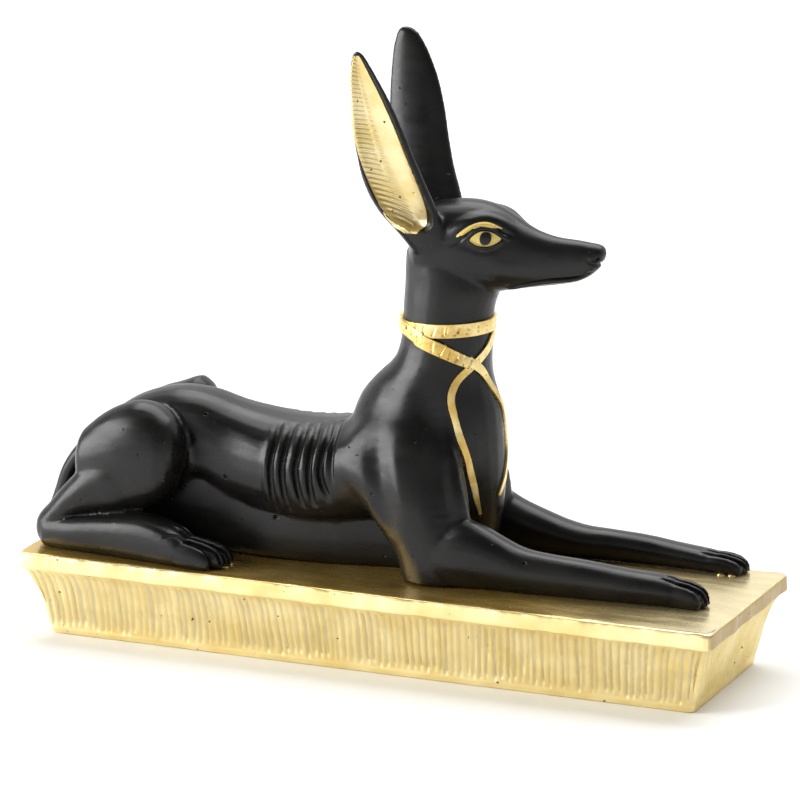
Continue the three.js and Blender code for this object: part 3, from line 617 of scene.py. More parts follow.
for lines, radius, distance, finer in (
    ([BROW], 4.2, 1.5, 0), ([CHEEK], 4.5, 0.5, 0), ([CREASE], 1.1, -0.55, 2), ([UNDER], 1.3, -0.3, 0),
    ([UPPER_LID, LOWER_LID], 0.85, 0.5, 1), ([MOUTH], 0.85, -0.95, 2),
    ([shifted(MOUTH, up=1.1)], 1.3, 0.22, 0), ([shifted(MOUTH, up=-1.5)], 1.2, 0.45, 0),
    ([NOSTRIL], 0.7, -0.6, 2), ([UNDER_NOSE], 1.1, -0.9, 1),
):
    carve(jackal, both(lines), radius, distance, finer)
print("face:", len(jackal.data.vertices), "points on the skin now")

# %% [markdown]
# Creases on the body: along the front of the thigh, above the folded foot, with a low ridge under it,
# and from the armpit up to the shoulder. Grooves part the toes, and a few pits are left by the casting.

# %% Creases and toes
THIGH = [(-76, -9.8, 45.2, 0), (-71.5, -13, 43.5, 0.5), (-68, -15, 40, 0.8), (-66, -15.4, 35.5, 1),
         (-65.6, -18, 31.6, 1), (-66.6, -19, 27, 0.8), (-68.6, -18, 22.4, 0.4), (-72, -15, 17, 0)]
FOLD = [(-102.1, -25.3, 10.3, 0.2), (-95.5, -25, 11.6, 1), (-88.7, -25, 12.6), (-81, -24, 13.4),
        (-73.5, -23, 14, 0.7), (-67, -24, 12, 0)]
SHOULDER_FRONT = [(18.6, -13.6, 57, 0), (19.6, -14.8, 52, 0.5), (20.4, -15.3, 47.1, 0.8), (22.6, -16, 38),
                  (24.7, -18.4, 29.5), (27, -18.5, 22.6, 0.6), (30, -17, 18, 0)]
for line, radius, distance, finer in (
    (THIGH, 2.2, -0.8, 0), (FOLD, 1.1, -1.0, 1), (shifted(FOLD, up=-1.5), 1.5, 0.5, 0),
    (SHOULDER_FRONT, 2.6, -0.7, 0),
):
    carve(jackal, both([line]), radius, distance, finer)


def toe_grooves(foot, side, reach, slant):
    """Lines between the toes of a paw, over their tops and down their ends."""
    x, _, z, _, up = foot[-1][:5]
    lines = []
    for i in range(TOE_COUNT - 1):
        _, place, _, tip = toe_line(foot, reach, slant, (2 * i + 1) / (TOE_COUNT - 1) - 1)
        top = z + up
        lines.append([(x - TOE_ROOT, place, top, 0), (x - TOE_ROOT * 0.6, place, top, 0.7),
                      (x - 2, place, top), ((x + tip) / 2, place, top * 0.8),
                      (tip, place, top * 0.55), (tip + 1, place, z * 0.4)])
    return [on_side(line, side) for line in lines]


grooves = []
for paw in paws:
    grooves += toe_grooves(*paw)
carve(jackal, grooves, 0.85, -1.05, finer=2)
PITS = [(46.8, -25.7, 10.0), (-54.2, -15.6, 25.1), (-62.1, -11.1, 43.5), (-37.9, -16.8, 13.8)]
PIT_LENGTH = 0.3
carve(jackal, [[(x, y, z), (x + PIT_LENGTH, y, z)] for x, y, z in PITS], 0.7, -0.8, finer=2)
print("toes:", len(jackal.data.vertices), "points on the skin now")

# %% [markdown]
# The skin has more points than it needs where it is plain. A Decimate modifier thins it there and keeps
# the carved places.

# %% Thinning the skin
FACES_KEPT = 190000
only(jackal)
triangles = sum(len(face.vertices) - 2 for face in jackal.data.polygons)
apply_modifier(jackal, "TRIANGULATE")
apply_modifier(jackal, "DECIMATE", ratio=min(1, FACES_KEPT / triangles))
print("skin thinned from", triangles, "to", len(jackal.data.polygons), "triangles")

# %% [markdown]
# The gold bands are raised a little, so each is a strip of its own: a grid whose rows are laid on the
# neck, drawn onto its skin by a Shrinkwrap modifier and thickened by a Solidify modifier. The near band
# comes from the nape, passes over the collar, crosses the far band on the breast and runs down.

# %% Strips on the neck
neck_rows = np.array(NECK, float)
neck_places = np.linspace(0, len(neck_rows) - 1, 240)
neck_heights = [through(neck_rows[:, :3], place, False)[2] for place in neck_places]


def on_neck(turn, height):
    """A point on the drawn neck, `turn` degrees from the breast towards the left, and the way out."""
    place = float(np.interp(height, neck_heights, neck_places))
    x = through(neck_rows[:, :3], place, False)[0]
    half, front, back = through(neck_rows[:, 3:], place, True)
    c, s = math.cos(math.radians(turn)), math.sin(math.radians(turn))
    reach = front if c > 0 else back
    return Vector((x + reach * c, half * s, height)), Vector((c / reach, s / half, 0)).normalized()


def strip(name, marks, rows, columns, lift, closed=False):
    """A raised strip along the marks [turn, height, width]."""
    table = np.array(marks, float)
    middles = [through(table, i * (len(table) - 1) / rows, True) for i in range(rows + 1)]
    spots = [(*on_neck(turn, height), width) for turn, height, width in middles]
    only()
    bpy.ops.mesh.primitive_grid_add(x_subdivisions=columns, y_subdivisions=rows)
    piece = bpy.context.object
    piece.name = name
    for i, (point, outward, width) in enumerate(spots):
        before = spots[max(i - 1, 0)][0]
        after = spots[min(i + 1, rows)][0]
        if closed and i in (0, rows):
            before, after = spots[rows - 1][0], spots[1][0]
        across = (after - before).cross(outward).normalized()
        for j in range(columns + 1):
            share = j / columns - 0.5
            spot = point + across * (share * width) + outward * 0.6
            piece.data.vertices[i * (columns + 1) + j].co = spot
    if closed:
        edit(piece)
        bpy.ops.mesh.remove_doubles(threshold=0.001)
        bpy.ops.object.mode_set(mode="OBJECT")
    apply_modifier(piece, "SHRINKWRAP", target=jackal, wrap_method="NEAREST_SURFACEPOINT",
                   wrap_mode="ABOVE_SURFACE", offset=lift)
    apply_modifier(piece, "SMOOTH", factor=0.5, iterations=3)
    return piece


COLLAR = [(turn, 76.7 + 0.7 * math.cos(math.radians(turn)), 4.3) for turn in range(0, 361, 15)]
NEAR_BAND = [
    (-180, 77.4, 3.6), (-140, 76.2, 3.8), (-110, 74.2, 4.3), (-108.8, 73.6, 4.4), (-83.9, 71.4, 4.4),
    (-66.7, 69.4, 4), (-49.4, 67.5, 3.6), (-35.1, 66, 3), (-18.4, 62.2, 2.5), (-9.2, 58.9, 2.4),
    (-1.4, 55.4, 2.4), (6, 51.4, 2.4), (10.8, 47, 2.4), (13.2, 42, 2.4), (11.7, 36, 2.3),
    (1.5, 30, 2.1), (-15.5, 24, 1.2),
]
FAR_BAND = [
    (180, 77.4, 3.6), (120, 76.6, 3.8), (60, 76, 3.6), (25, 75.6, 3.4), (2.7, 73.6, 3.2),
    (-11.6, 70.6, 3), (-28.1, 67.5, 2.7), (-40.4, 65.3, 2.5), (-52.9, 62.3, 2.4), (-58.4, 59.1, 2.4),
    (-59.8, 56, 2.4), (-58.2, 52.4, 2.4), (-53.8, 47, 2.4), (-50.1, 42.2, 2.4), (-47, 37.9, 2.4),
    (-44.9, 33.2, 2.3), (-43.1, 28.5, 2.2), (-41.5, 23.7, 1.8), (-37.8, 18.8, 0.8),
]
COLLAR_LIFT, BAND_LIFT, CROSSING_LIFT = 0.85, 0.65, 0.7
OVER_FAR_BAND = [(-44, 66.8), (-35, 66), (-27, 64.6)]
OVER_COLLAR = [(-180, 77.4), (-140, 76.2), (-110, 74), (-84, 71.6)]
collar = strip("collar", COLLAR, 300, 14, COLLAR_LIFT, closed=True)
far_band = strip("far_band", FAR_BAND, 360, 8, BAND_LIFT)
near_band = strip("near_band", NEAR_BAND, 360, 10, BAND_LIFT)
for marks, radius in ((OVER_FAR_BAND, 5), (OVER_COLLAR, 7)):
    crossing = [on_neck(turn, height)[0] for turn, height in marks]
    displace(near_band, near_lines(near_band, [crossing], radius), CROSSING_LIFT)
print("bands laid on the neck")

# %% [markdown]
# The bands carry a row of shallow strokes, worn and without meaning, as such figures do. Each stroke is
# a short line pressed into the strip. A seeded random order keeps them the same in every run. Then the
# strips get their thickness, with softened edges.

# %% Strokes on the bands
STROKE_RADIUS, STROKE_DEPTH = 0.45, 0.32
STROKE_SPREAD = 0.28
STROKE_HEIGHTS = (0.7, 1.1)
STROKE_DEGREES = (2, 5)
DOT = 0.4
BAND_BODY = 1.3


def strokes(marks, first, last, count, seed):
    """Short bars, hooks and dots along a strip between two shares of its length."""
    dice = random.Random(seed)
    table = np.array(marks, float)
    lines = []
    for i in range(count):
        share = first + (last - first) * (i + 0.5) / count
        turn, height, width = through(table, share * (len(table) - 1), True)
        kind = dice.choice(("bar", "slant", "hook", "dots", "pair"))
        tall = width * STROKE_SPREAD * dice.uniform(*STROKE_HEIGHTS)
        half = dice.uniform(*STROKE_DEGREES) / 2
        shapes = {
            "bar": [[(0, -1), (0, 1)]],
            "slant": [[(-half, -1), (half, 1)]],
            "hook": [[(-half, -1), (-half, 0.6), (0, 1), (half, 0.4)]],
            "dots": [[(0, 0.7), (DOT, 0.6)], [(0, -0.6), (DOT, -0.7)]],
            "pair": [[(-half, -1), (-half, 1)], [(half, -0.5), (half, 1)]],
        }
        for shape in shapes[kind]:
            lines.append([on_neck(turn + across, height + up * tall)[0] for across, up in shape])
    return lines


for piece, *row in (
    (collar, COLLAR, 0, 1, 26, 3), (near_band, NEAR_BAND, 0.05, 0.42, 11, 5),
    (far_band, FAR_BAND, 0.05, 0.4, 9, 8),
):
    lines = [snapped(piece, line) for line in strokes(*row)]
    displace(piece, near_lines(piece, lines, STROKE_RADIUS), -STROKE_DEPTH)
    apply_modifier(piece, "SOLIDIFY", thickness=BAND_BODY, offset=-1)
    apply_modifier(piece, "BEVEL", width=0.16, segments=2, limit_method="ANGLE",
                   angle_limit=math.radians(50))
print("strokes pressed into the bands")

# %% [markdown]
# The lining of an ear is a thin gold shell in its hollow. A grid is cut to the lining's outline, thrown
# sideways onto the ear by a Shrinkwrap modifier and thickened. Fine ridges run across its rear part.

# %% Ear linings
LINING = [
    (106.9, 4.2, 8.4), (108.9, 0.2, 10.1), (112.6, -2.7, 10.5), (116.7, -5.0, 10), (123.3, -7.6, 8.4),
    (129.1, -9.2, 6.4), (135.5, -10.3, 4.3), (141.9, -10.8, 2.1), (149.6, -10.7, -1), (156.3, -10, -4),
    (161, -9, -6.1), (162.4, -8.5, -7),
]
RIDGE_COUNT = 36
LINING_ROWS, LINING_COLUMNS = 260, 40
LINING_LIFT, RIDGE_HEIGHT, LINING_BODY = 0.2, 0.32, 0.7
ASIDE = 45


def throw_sideways(piece, side):
    """Throw a flat piece that stands beside the figure onto its skin."""
    apply_modifier(piece, "SHRINKWRAP", target=jackal, wrap_method="PROJECT", use_project_y=True,
                   use_negative_direction=side > 0, use_positive_direction=side < 0, offset=0)


def face_aside(piece, side):
    """Make the faces of a thin piece look away from the figure."""
    if sum(face.normal.y for face in piece.data.polygons) * side < 0:
        piece.data.flip_normals()


def lining(side):
    table = np.array(LINING)
    only()
    bpy.ops.mesh.primitive_grid_add(x_subdivisions=LINING_COLUMNS, y_subdivisions=LINING_ROWS)
    piece = bpy.context.object
    piece.name = "ear_lining_left" if side > 0 else "ear_lining_right"
    shares = []
    for i in range(LINING_ROWS + 1):
        height, rear, front = through(table, i / LINING_ROWS * (len(table) - 1), True)
        for j in range(LINING_COLUMNS + 1):
            across = j / LINING_COLUMNS
            piece.data.vertices[len(shares)].co = (rear + (front - rear) * across, side * ASIDE, height)
            shares.append((height, across))
    throw_sideways(piece, side)
    missed = np.abs(points_of(piece)[:, 1]) > ASIDE - 5
    pick(piece, missed)
    bpy.ops.mesh.delete(type="VERT")
    bpy.ops.object.mode_set(mode="OBJECT")
    apply_modifier(piece, "SMOOTH", factor=0.5, iterations=8)
    print(piece.name, "points that missed the ear:", missed.sum())
    return piece, np.array(shares)[~missed]


def ridge_weights(shares):
    """Ridges across the rear part of a lining, steeper near its foot; a seam parts them higher up."""
    height, across = shares.T
    share = (height - LINING[0][0]) / (LINING[-1][0] - LINING[0][0])
    tilt = 0.9 + 2.8 * np.clip(1 - 1.6 * share, 0, 1)
    wave = 0.5 + 0.5 * np.cos(2 * math.pi * (RIDGE_COUNT * share * (0.8 + 0.2 * share) + tilt * across))
    edge = np.clip((0.66 - 0.2 * share - across) / 0.1, 0, 1)
    rim = np.clip(across / 0.06, 0, 1)
    seam = np.clip(1 - np.abs(across - 0.36) / 0.05, 0, 1) * np.clip((share - 0.25) / 0.1, 0, 1)
    return np.clip(wave * edge * rim * (1 - seam), 0, 1)


linings = []
for side in (1, -1):
    piece, shares = lining(side)
    edit(piece)
    turn_outwards()
    face_aside(piece, side)
    displace(piece, np.ones(len(shares)), LINING_LIFT)
    displace(piece, ridge_weights(shares), RIDGE_HEIGHT)
    apply_modifier(piece, "SOLIDIFY", thickness=LINING_BODY, offset=-1)
    linings.append(piece)
print("ear linings made")

# %% [markdown]
# An eye is a gold almond with a glossy black pupil, and a gold brow lies over it. Each is drawn as an
# outline and filled with smaller and smaller rings. Then it is thrown sideways onto the head, as the
# linings were onto the ears. Almond and pupil are domed a little.

# %% Eyes and brows
ALMOND = [(24.3, 105.5), (25.6, 107.2), (27.2, 108.1), (28.8, 108.3), (30.4, 108), (32, 107.2),
          (33.6, 105.9), (32.2, 104.6), (30.6, 103.9), (28.8, 103.7), (27, 103.9), (25.5, 104.6)]
BESIDE_HEAD = 30
RINGS = 10
DOME_HALF = 2.4
PATCH_BODY = 0.5


def patch(name, middle, outline, side, lift=0.12, dome=0.0):
    """A closed thin patch on the side of the head, its outline given in x and z from the rear."""
    count = 4 * len(outline)
    rows = np.array(outline + outline[:2], float)
    edge = [through(np.vstack([outline[-1], rows]), 1 + i / 4, True) for i in range(count)]
    only()
    bpy.ops.mesh.primitive_circle_add(vertices=count, radius=1, fill_type="NOTHING")
    piece = bpy.context.object
    piece.name = name
    for vertex, (x, z) in zip(piece.data.vertices, edge):
        vertex.co = (x, side * BESIDE_HEAD, z)
    edit(piece)
    centre = Vector((middle[0], side * BESIDE_HEAD, middle[1]))
    for left in range(RINGS, 1, -1):
        bpy.ops.mesh.extrude_region_move()
        share = (left - 1) / left
        bpy.ops.transform.resize(value=(share, 1, share), center_override=centre)
    bpy.ops.mesh.edge_face_add()
    turn_outwards()
    throw_sideways(piece, side)
    apply_modifier(piece, "SMOOTH", factor=0.5, iterations=2)
    face_aside(piece, side)
    place = points_of(piece)
    reach = outline[len(outline) // 2][0] - middle[0]
    gap = np.hypot((place[:, 0] - middle[0]) / reach, (place[:, 2] - middle[1]) / DOME_HALF)
    displace(piece, np.ones(len(place)), lift)
    if dome:
        displace(piece, np.sqrt(np.clip(1 - gap, 0, 1)), dome)
    apply_modifier(piece, "SOLIDIFY", thickness=PATCH_BODY, offset=-1)
    return piece


def round_outline(x, z, width, height, count=12):
    turns = [2 * math.pi * i / count for i in range(count)]
    return [(x - width * math.cos(turn), z + height * math.sin(turn)) for turn in turns]


PUPIL = round_outline(29, 106.1, 1.75, 2.1)
BROW_TOP = [(20.2, 106.6), (22, 108.4), (24.5, 110.1), (27.5, 111.1), (30.5, 110.8), (33.8, 108.9)]
BROW_BOTTOM = [(30.6, 109.9), (27.8, 110.1), (25.1, 109.2), (22.8, 107.8), (20.9, 106.4)]
DOME = 0.35
gold_eyes, pupils = [], []
for side, word in ((1, "left"), (-1, "right")):
    gold_eyes.append(patch("eye_" + word, (28.9, 106), ALMOND, side, dome=DOME))
    gold_eyes.append(patch("brow_" + word, (26.6, 109.8), BROW_TOP + BROW_BOTTOM, side, lift=0.1))
    pupils.append(patch("pupil_" + word, (29, 106.1), PUPIL, side, lift=0.5, dome=DOME))
print("eyes and brows made")

# %% [markdown]
# A little gold paint ran in front of the paws and dried there in small drops. Each drop is a ball,
# drawn long and flat, half sunk in the plinth's top.

# %% Drops of gold paint
DROPS = [(-49.9, -23.6, 1.3), (-49.4, -27.2, 0.8), (97.4, 15.2, 1), (100.8, 15.4, 0.9)]
DROP_SHAPE = (1.4, 0.9, 0.8)
drops = []
for x, y, size in DROPS:
    only()
    bpy.ops.mesh.primitive_ico_sphere_add(subdivisions=3, radius=size, location=(x, y, -SEAT))
    bpy.ops.transform.resize(value=DROP_SHAPE)
    drops.append(bpy.context.object)
only(*drops)
bpy.ops.object.join()
drops = bpy.context.object
drops.name = "gold_drops"
bpy.ops.object.transform_apply()
print("drops set:", len(DROPS))

# %% [markdown]
# The plinth is one casting: a plain band at the top, hollow sides with upright flutes and a narrow plain
# foot. It starts as a rectangle with rounded corners whose edges are divided, and grows upwards ring by
# ring. Each ring is scaled, so that the hollow sides draw in.

# %% Plinth
LENGTH, WIDTH = 230.0, 71.4
BAND_HEIGHT = 4.9
SIDE_HOLLOW = 8.0
HOLLOW_POWER = 0.55
BAND_LEDGE = 0.75
FOOT = 2.3
FLUTES_LONG, FLUTES_SHORT = 98, 30
band_foot = PLINTH_TOP - BAND_HEIGHT


def drawn_in(z):
    """How far the side lies inside the band's face at a height."""
    if z >= band_foot:
        return 0.0
    return max(BAND_LEDGE, SIDE_HOLLOW * (1 - z / band_foot) ** HOLLOW_POWER)


PROFILE = [(0, drawn_in(0) + 0.35), (0.3, drawn_in(0.3) - 0.1), (1.2, drawn_in(1.2) - 0.15),
           (2.0, drawn_in(2) - 0.12), (FOOT, drawn_in(FOOT))]
PROFILE += [(z, drawn_in(z)) for z in np.linspace(FOOT + 0.5, band_foot - 0.6, 21)]
PROFILE += [(band_foot - 0.25, 0.8), (band_foot - 0.12, 0.66), (band_foot - 0.1, 0.3), (band_foot, 0.08),
            (band_foot + 0.3, 0), (band_foot + 1.2, 0), (band_foot + 2.2, 0), (band_foot + 3.2, 0),
            (PLINTH_TOP - 1.1, 0), (PLINTH_TOP - 0.6, 0.08), (PLINTH_TOP - 0.25, 0.3),
            (PLINTH_TOP - 0.06, 0.7), (PLINTH_TOP, 1.2), (PLINTH_TOP, 2.2)]


def edges_between(piece, longer, shorter):
    """Select the outline's edges whose length lies between two values."""
    bpy.ops.mesh.select_all(action="DESELECT")
    mesh = bmesh.from_edit_mesh(piece.data)
    for edge in mesh.edges:
        if longer < edge.calc_length() < shorter:
            edge.select_set(True)
    bmesh.update_edit_mesh(piece.data)


only()
bpy.ops.mesh.primitive_plane_add(size=1)
plinth = bpy.context.object
plinth.name = "plinth_fluted"
edit(plinth)
bpy.ops.mesh.select_mode(type="EDGE")
draw = PROFILE[0][1]
bpy.ops.transform.resize(value=((LENGTH / 2 - draw) * 2, (WIDTH / 2 - draw) * 2, 1))
bpy.ops.mesh.bevel(offset=2, segments=3, affect="VERTICES")
bpy.ops.mesh.select_all(action="SELECT")
bpy.ops.mesh.delete(type="ONLY_FACE")
edges_between(plinth, WIDTH, LENGTH)
bpy.ops.mesh.subdivide(number_cuts=FLUTES_LONG - 1)
edges_between(plinth, WIDTH / 2, WIDTH)
bpy.ops.mesh.subdivide(number_cuts=FLUTES_SHORT - 1)
edges_between(plinth, 1, 3)
bpy.ops.mesh.subdivide(number_cuts=5)
bpy.ops.mesh.select_all(action="SELECT")
for (low, old), (high, new) in zip(PROFILE, PROFILE[1:]):
    bpy.ops.mesh.extrude_region_move(TRANSFORM_OT_translate={"value": (0, 0, high - low)})
    growth = ((LENGTH / 2 - new) / (LENGTH / 2 - old), (WIDTH / 2 - new) / (WIDTH / 2 - old), 1)
    bpy.ops.transform.resize(value=growth, center_override=(0, 0, high))
bpy.ops.mesh.extrude_region_move()
bpy.ops.mesh.merge(type="CENTER")
bpy.ops.mesh.select_all(action="DESELECT")
bpy.ops.mesh.select_non_manifold()
bpy.ops.mesh.extrude_region_move()
bpy.ops.mesh.merge(type="CENTER")
turn_outwards()
print("plinth:", len(plinth.data.vertices), "points")

# %% [markdown]
# The flutes are scribed by hand: no two are alike. Each groove has its own place, slant, depth, top and
# bottom. Near the ends of a long side the tops of the grooves lean towards its middle. The weights of
# all grooves are worked out first, and then one Displace modifier sinks them.

# %% Flutes
dice = random.Random(11)
LEAN_PLACES = (-115, -80, -40, 40, 80, 115)
LEANS = (0.2, 0.25, 0.05, 0, -0.15, -0.12)
END_LEANS = (0.02,) * len(LEAN_PLACES)
# The least and the most of a groove's shift, slant, depth, gap above, gap below, phase and width.
GROOVE_RANGES = ((-0.15, 0.15), (-0.012, 0.012), (0.65, 1), (0, 0.9), (0, 1.2), (0, 6.3), (0.27, 0.38))
GROOVE_END = 1.2
FLUTE_DEPTH = 0.65
WAVE_REACH, WAVE_LENGTH = 0.07, 3.2
ON_FACE = 0.2
CORNER_GAP = 1.2


def groove_weights(along, height, count, length, leans):
    """Weight of the grooves at places `along` a side of the plinth."""
    pitch = length / count
    weights = np.zeros(len(along))
    for k in range(count):
        shift, slant, depth, above, below, phase, width = (dice.uniform(*pair) for pair in GROOVE_RANGES)
        start = -length / 2 + (k + 0.5) * pitch + shift * pitch
        slope = slant + np.interp(start, LEAN_PLACES, leans)
        wave = WAVE_REACH * np.sin(height / WAVE_LENGTH + phase)
        centre = start + slope * (height - band_foot / 2) + wave
        gap = np.abs(along - centre) / (width * pitch)
        fade = np.clip((band_foot - 0.3 - above - height) / GROOVE_END, 0, 1)
        fade *= np.clip((height - FOOT - below) / GROOVE_END, 0, 1)
        weights = np.maximum(weights, depth * np.clip(1 - gap ** 2, 0, 1) * fade)
    return weights


place = points_of(plinth)
in_rows = (place[:, 2] > FOOT - 0.1) & (place[:, 2] < band_foot - 0.05)
halves = np.array((LENGTH, WIDTH)) / 2 - np.array([[drawn_in(z)] for z in place[:, 2]])
apart = np.abs(place[:, :2])
grooves = np.zeros(len(place))
for axis, sign, count, length, leans in (
    (0, -1, FLUTES_LONG, LENGTH, LEANS), (0, 1, FLUTES_LONG, LENGTH, LEANS),
    (1, 1, FLUTES_SHORT, WIDTH, END_LEANS), (1, -1, FLUTES_SHORT, WIDTH, END_LEANS),
):
    out = 1 - axis
    face = in_rows & (np.abs(apart[:, out] - halves[:, out]) < ON_FACE)
    face &= (apart[:, axis] < halves[:, axis] - CORNER_GAP) & (np.sign(place[:, out]) == sign)
    along = place[face, axis] * (length / 2 / halves[face, axis])
    grooves[face] = groove_weights(along, place[face, 2], count, length, leans)
displace(plinth, grooves, -FLUTE_DEPTH)
mark = plinth.data.attributes.new("groove", "FLOAT", "POINT")
mark.data.foreach_set("value", grooves)
print("flutes scribed:", 2 * (FLUTES_LONG + FLUTES_SHORT))

# %% [markdown]
# A cast thing has no straight edge. A soft cloud pattern in a Displace modifier makes the plinth's sides
# and edges waver a little; the top and the underside stay flat.

# %% Wavering edges
waver = bpy.data.textures.new("waver", "CLOUDS")
waver.noise_scale = 9
heights = points_of(plinth)[:, 2]
weights = np.where(heights > PLINTH_TOP - 0.03, 0, np.clip((heights - 0.5) / 4, 0, 1))
by_weight(plinth, weights, "DISPLACE", texture=waver, texture_coords="LOCAL", strength=0.9, mid_level=0.5)
print("the plinth's faces waver a little")

# %% [markdown]
# The finished pieces are brought to their places. From here on they are in metres, like the solid model.

# %% Setting the pieces down
gold_pieces = [collar, near_band, far_band, *linings, *gold_eyes, drops]
for piece in [jackal, *gold_pieces, *pupils]:
    set_down(piece)
set_down(plinth, Matrix.Translation((plinth_middle * MM, 0, 0)) @ Matrix.Scale(MM, 4))
for piece, angle in [(plinth, 40)] + [(piece, 50) for piece in gold_pieces]:
    only(piece)
    bpy.ops.object.shade_smooth_by_angle(angle=math.radians(angle))
print("pieces:", len(gold_pieces) + len(pupils) + 2)

# %% [markdown]
# All paints are built from nodes that read Object coordinates, so the pattern stays on the piece. The
# black and the golds share four layers: a cloud for the colour, a fine grain, streaks that the brush
# left along the piece, and a few pits of the casting. The last three are also bumps on the surface.

# %% Helpers for paint
def new_paint(name):
    material = bpy.data.materials.new(name)
    material.use_nodes = True
    tree = material.node_tree
    shader = tree.nodes["Principled BSDF"]
    where = tree.nodes.new("ShaderNodeTexCoord").outputs["Object"]
    return material, tree, shader, where


def noise(tree, where, scale, detail=3.0, stretch=None):
    node = tree.nodes.new("ShaderNodeTexNoise")
    node.inputs["Scale"].default_value = scale
    node.inputs["Detail"].default_value = detail
    if stretch:
        mapping = tree.nodes.new("ShaderNodeMapping")
        mapping.inputs["Scale"].default_value = stretch
        tree.links.new(where, mapping.inputs["Vector"])
        where = mapping.outputs["Vector"]
    tree.links.new(where, node.inputs["Vector"])
    return node.outputs["Fac"]


def ramp(tree, value, low, high, start=0.35, end=0.65):
    node = tree.nodes.new("ShaderNodeMapRange")
    node.inputs["From Min"].default_value = start
    node.inputs["From Max"].default_value = end
    node.inputs["To Min"].default_value = low
    node.inputs["To Max"].default_value = high
    tree.links.new(value, node.inputs["Value"])
    return node.outputs["Result"]


def blend(tree, share, first, second):
    """Mix of two colours; either may be a socket."""
    node = tree.nodes.new("ShaderNodeMix")
    node.data_type = "RGBA"
    tree.links.new(share, node.inputs[0])
    for value, socket in ((first, node.inputs[6]), (second, node.inputs[7])):
        if isinstance(value, bpy.types.NodeSocket):
            tree.links.new(value, socket)
        else:
            socket.default_value = (*value, 1)
    return node.outputs[2]


def combine(tree, operation, first, second):
    node = tree.nodes.new("ShaderNodeMath")
    node.operation = operation
    tree.links.new(first, node.inputs[0])
    tree.links.new(second, node.inputs[1])
    return node.outputs[0]


def layers(tree, where, cloud, grain, streaks, stretch, pits, pit_edges):
    """Cloud, grain, streaks and pits, at the given scales of their noise."""
    return (noise(tree, where, cloud, 4), noise(tree, where, grain, 2),
            noise(tree, where, streaks, 3, stretch=(stretch, 1, 1)),
            ramp(tree, noise(tree, where, pits, 1), 1, 0, *pit_edges))


def surface(tree, shader, colour, roughness, *heights):
    """Link colour, roughness and bumps; a bump is a pair of a height socket and a depth in metres."""
    tree.links.new(colour, shader.inputs["Base Color"])
    tree.links.new(roughness, shader.inputs["Roughness"])
    normal = None
    for height, depth in heights:
        node = tree.nodes.new("ShaderNodeBump")
        node.inputs["Distance"].default_value = depth
        tree.links.new(height, node.inputs["Height"])
        if normal:
            tree.links.new(normal, node.inputs["Normal"])
        normal = node.outputs["Normal"]
    tree.links.new(normal, shader.inputs["Normal"])


# %% [markdown]
# The black is a satin paint: nearly black, with soft grey lights. The brush left faint streaks along the
# body and the casting has a few tiny pits.

# %% Black paint
black, tree, shader, where = new_paint("satin_black_paint")
cloud, grain, streaks, pits = layers(tree, where, 60, 1400, 300, 0.25, 450, (0.765, 0.8))
colour = blend(tree, ramp(tree, cloud, 0, 1), (0.0035, 0.0033, 0.0031), (0.0075, 0.007, 0.0065))
shader.inputs["Specular IOR Level"].default_value = 0.34
surface(tree, shader, colour, ramp(tree, streaks, 0.26, 0.36),
        (streaks, 0.00004), (grain, 0.00002), (pits, 0.0004))

# %% [markdown]
# The gold is metallic paint, mixed in clouds from a darker and a lighter gold, and dark in its pits. The
# bands, the ear linings and the eyes each have two golds of their own. The golds of the eyes and brows
# are lightened, as painted light for the light that their side of the head doesn't get.

# %% Gold paint
def gold_paint(name, dark, light, metallic):
    material, tree, shader, where = new_paint(name)
    cloud, grain, streaks, pits = layers(tree, where, 90, 1800, 500, 0.3, 420, (0.74, 0.79))
    colour = blend(tree, ramp(tree, cloud, 0, 1, 0.38, 0.6), dark, light)
    colour = blend(tree, pits, (0.05, 0.035, 0.012), colour)
    shader.inputs["Metallic"].default_value = metallic
    surface(tree, shader, colour, ramp(tree, streaks, 0.27, 0.42),
            (streaks, 0.00005), (grain, 0.00003), (pits, 0.0003))
    return material


band_gold = gold_paint("band_gold_paint", (0.64, 0.43, 0.12), (0.88, 0.71, 0.33), 0.95)
ear_gold = gold_paint("ear_gold_paint", (0.7, 0.55, 0.24), (0.8, 0.68, 0.38), 0.8)
# Painted light: the eyes and brows get a lighter gold because little light falls on them.
eye_gold_brightened = gold_paint("eye_gold_paint", (0.86, 0.66, 0.2), (0.95, 0.8, 0.4), 0.5)
print("gold paint made")

# %% [markdown]
# The plinth wears the same gold, but its flat top was rubbed smooth and mirrors the figure. There the
# colour is painted a deeper amber, as painted shade for the dark that it mirrors, and paler near the paws,
# as a painted sheen. On the sides the paint in the grooves is greyer; the groove weights were kept in an
# attribute of the plinth for this. The band at the front end is painted browner, as painted shade.

# %% The plinth's paint
def above(tree, where, axis, low, high):
    """0 below `low` and 1 above `high` along an axis, in metres."""
    node = tree.nodes.new("ShaderNodeSeparateXYZ")
    tree.links.new(where, node.inputs["Vector"])
    return ramp(tree, node.outputs[axis], 0, 1, low, high)


plinth_gold, tree, shader, where = new_paint("plinth_gold_paint")
cloud, grain, streaks, pits = layers(tree, where, 70, 1800, 260, 0.25, 520, (0.77, 0.8))
on_top = above(tree, where, "Z", 0.0273, 0.02745)
sheen_towards_paws = above(tree, where, "X", 0.05, 0.115)
sides = blend(tree, ramp(tree, cloud, 0, 1), (0.82, 0.65, 0.27), (0.94, 0.8, 0.43))
mark = tree.nodes.new("ShaderNodeAttribute")
mark.attribute_name = "groove"
sides = blend(tree, ramp(tree, mark.outputs["Fac"], 0, 0.75, 0.25, 0.9), sides, (0.65, 0.59, 0.42))
# Painted shade: the top is painted a deeper amber than the sides, for the dark that it mirrors.
top = blend(tree, ramp(tree, cloud, 0, 1), (0.6, 0.38, 0.08), (0.74, 0.5, 0.14))
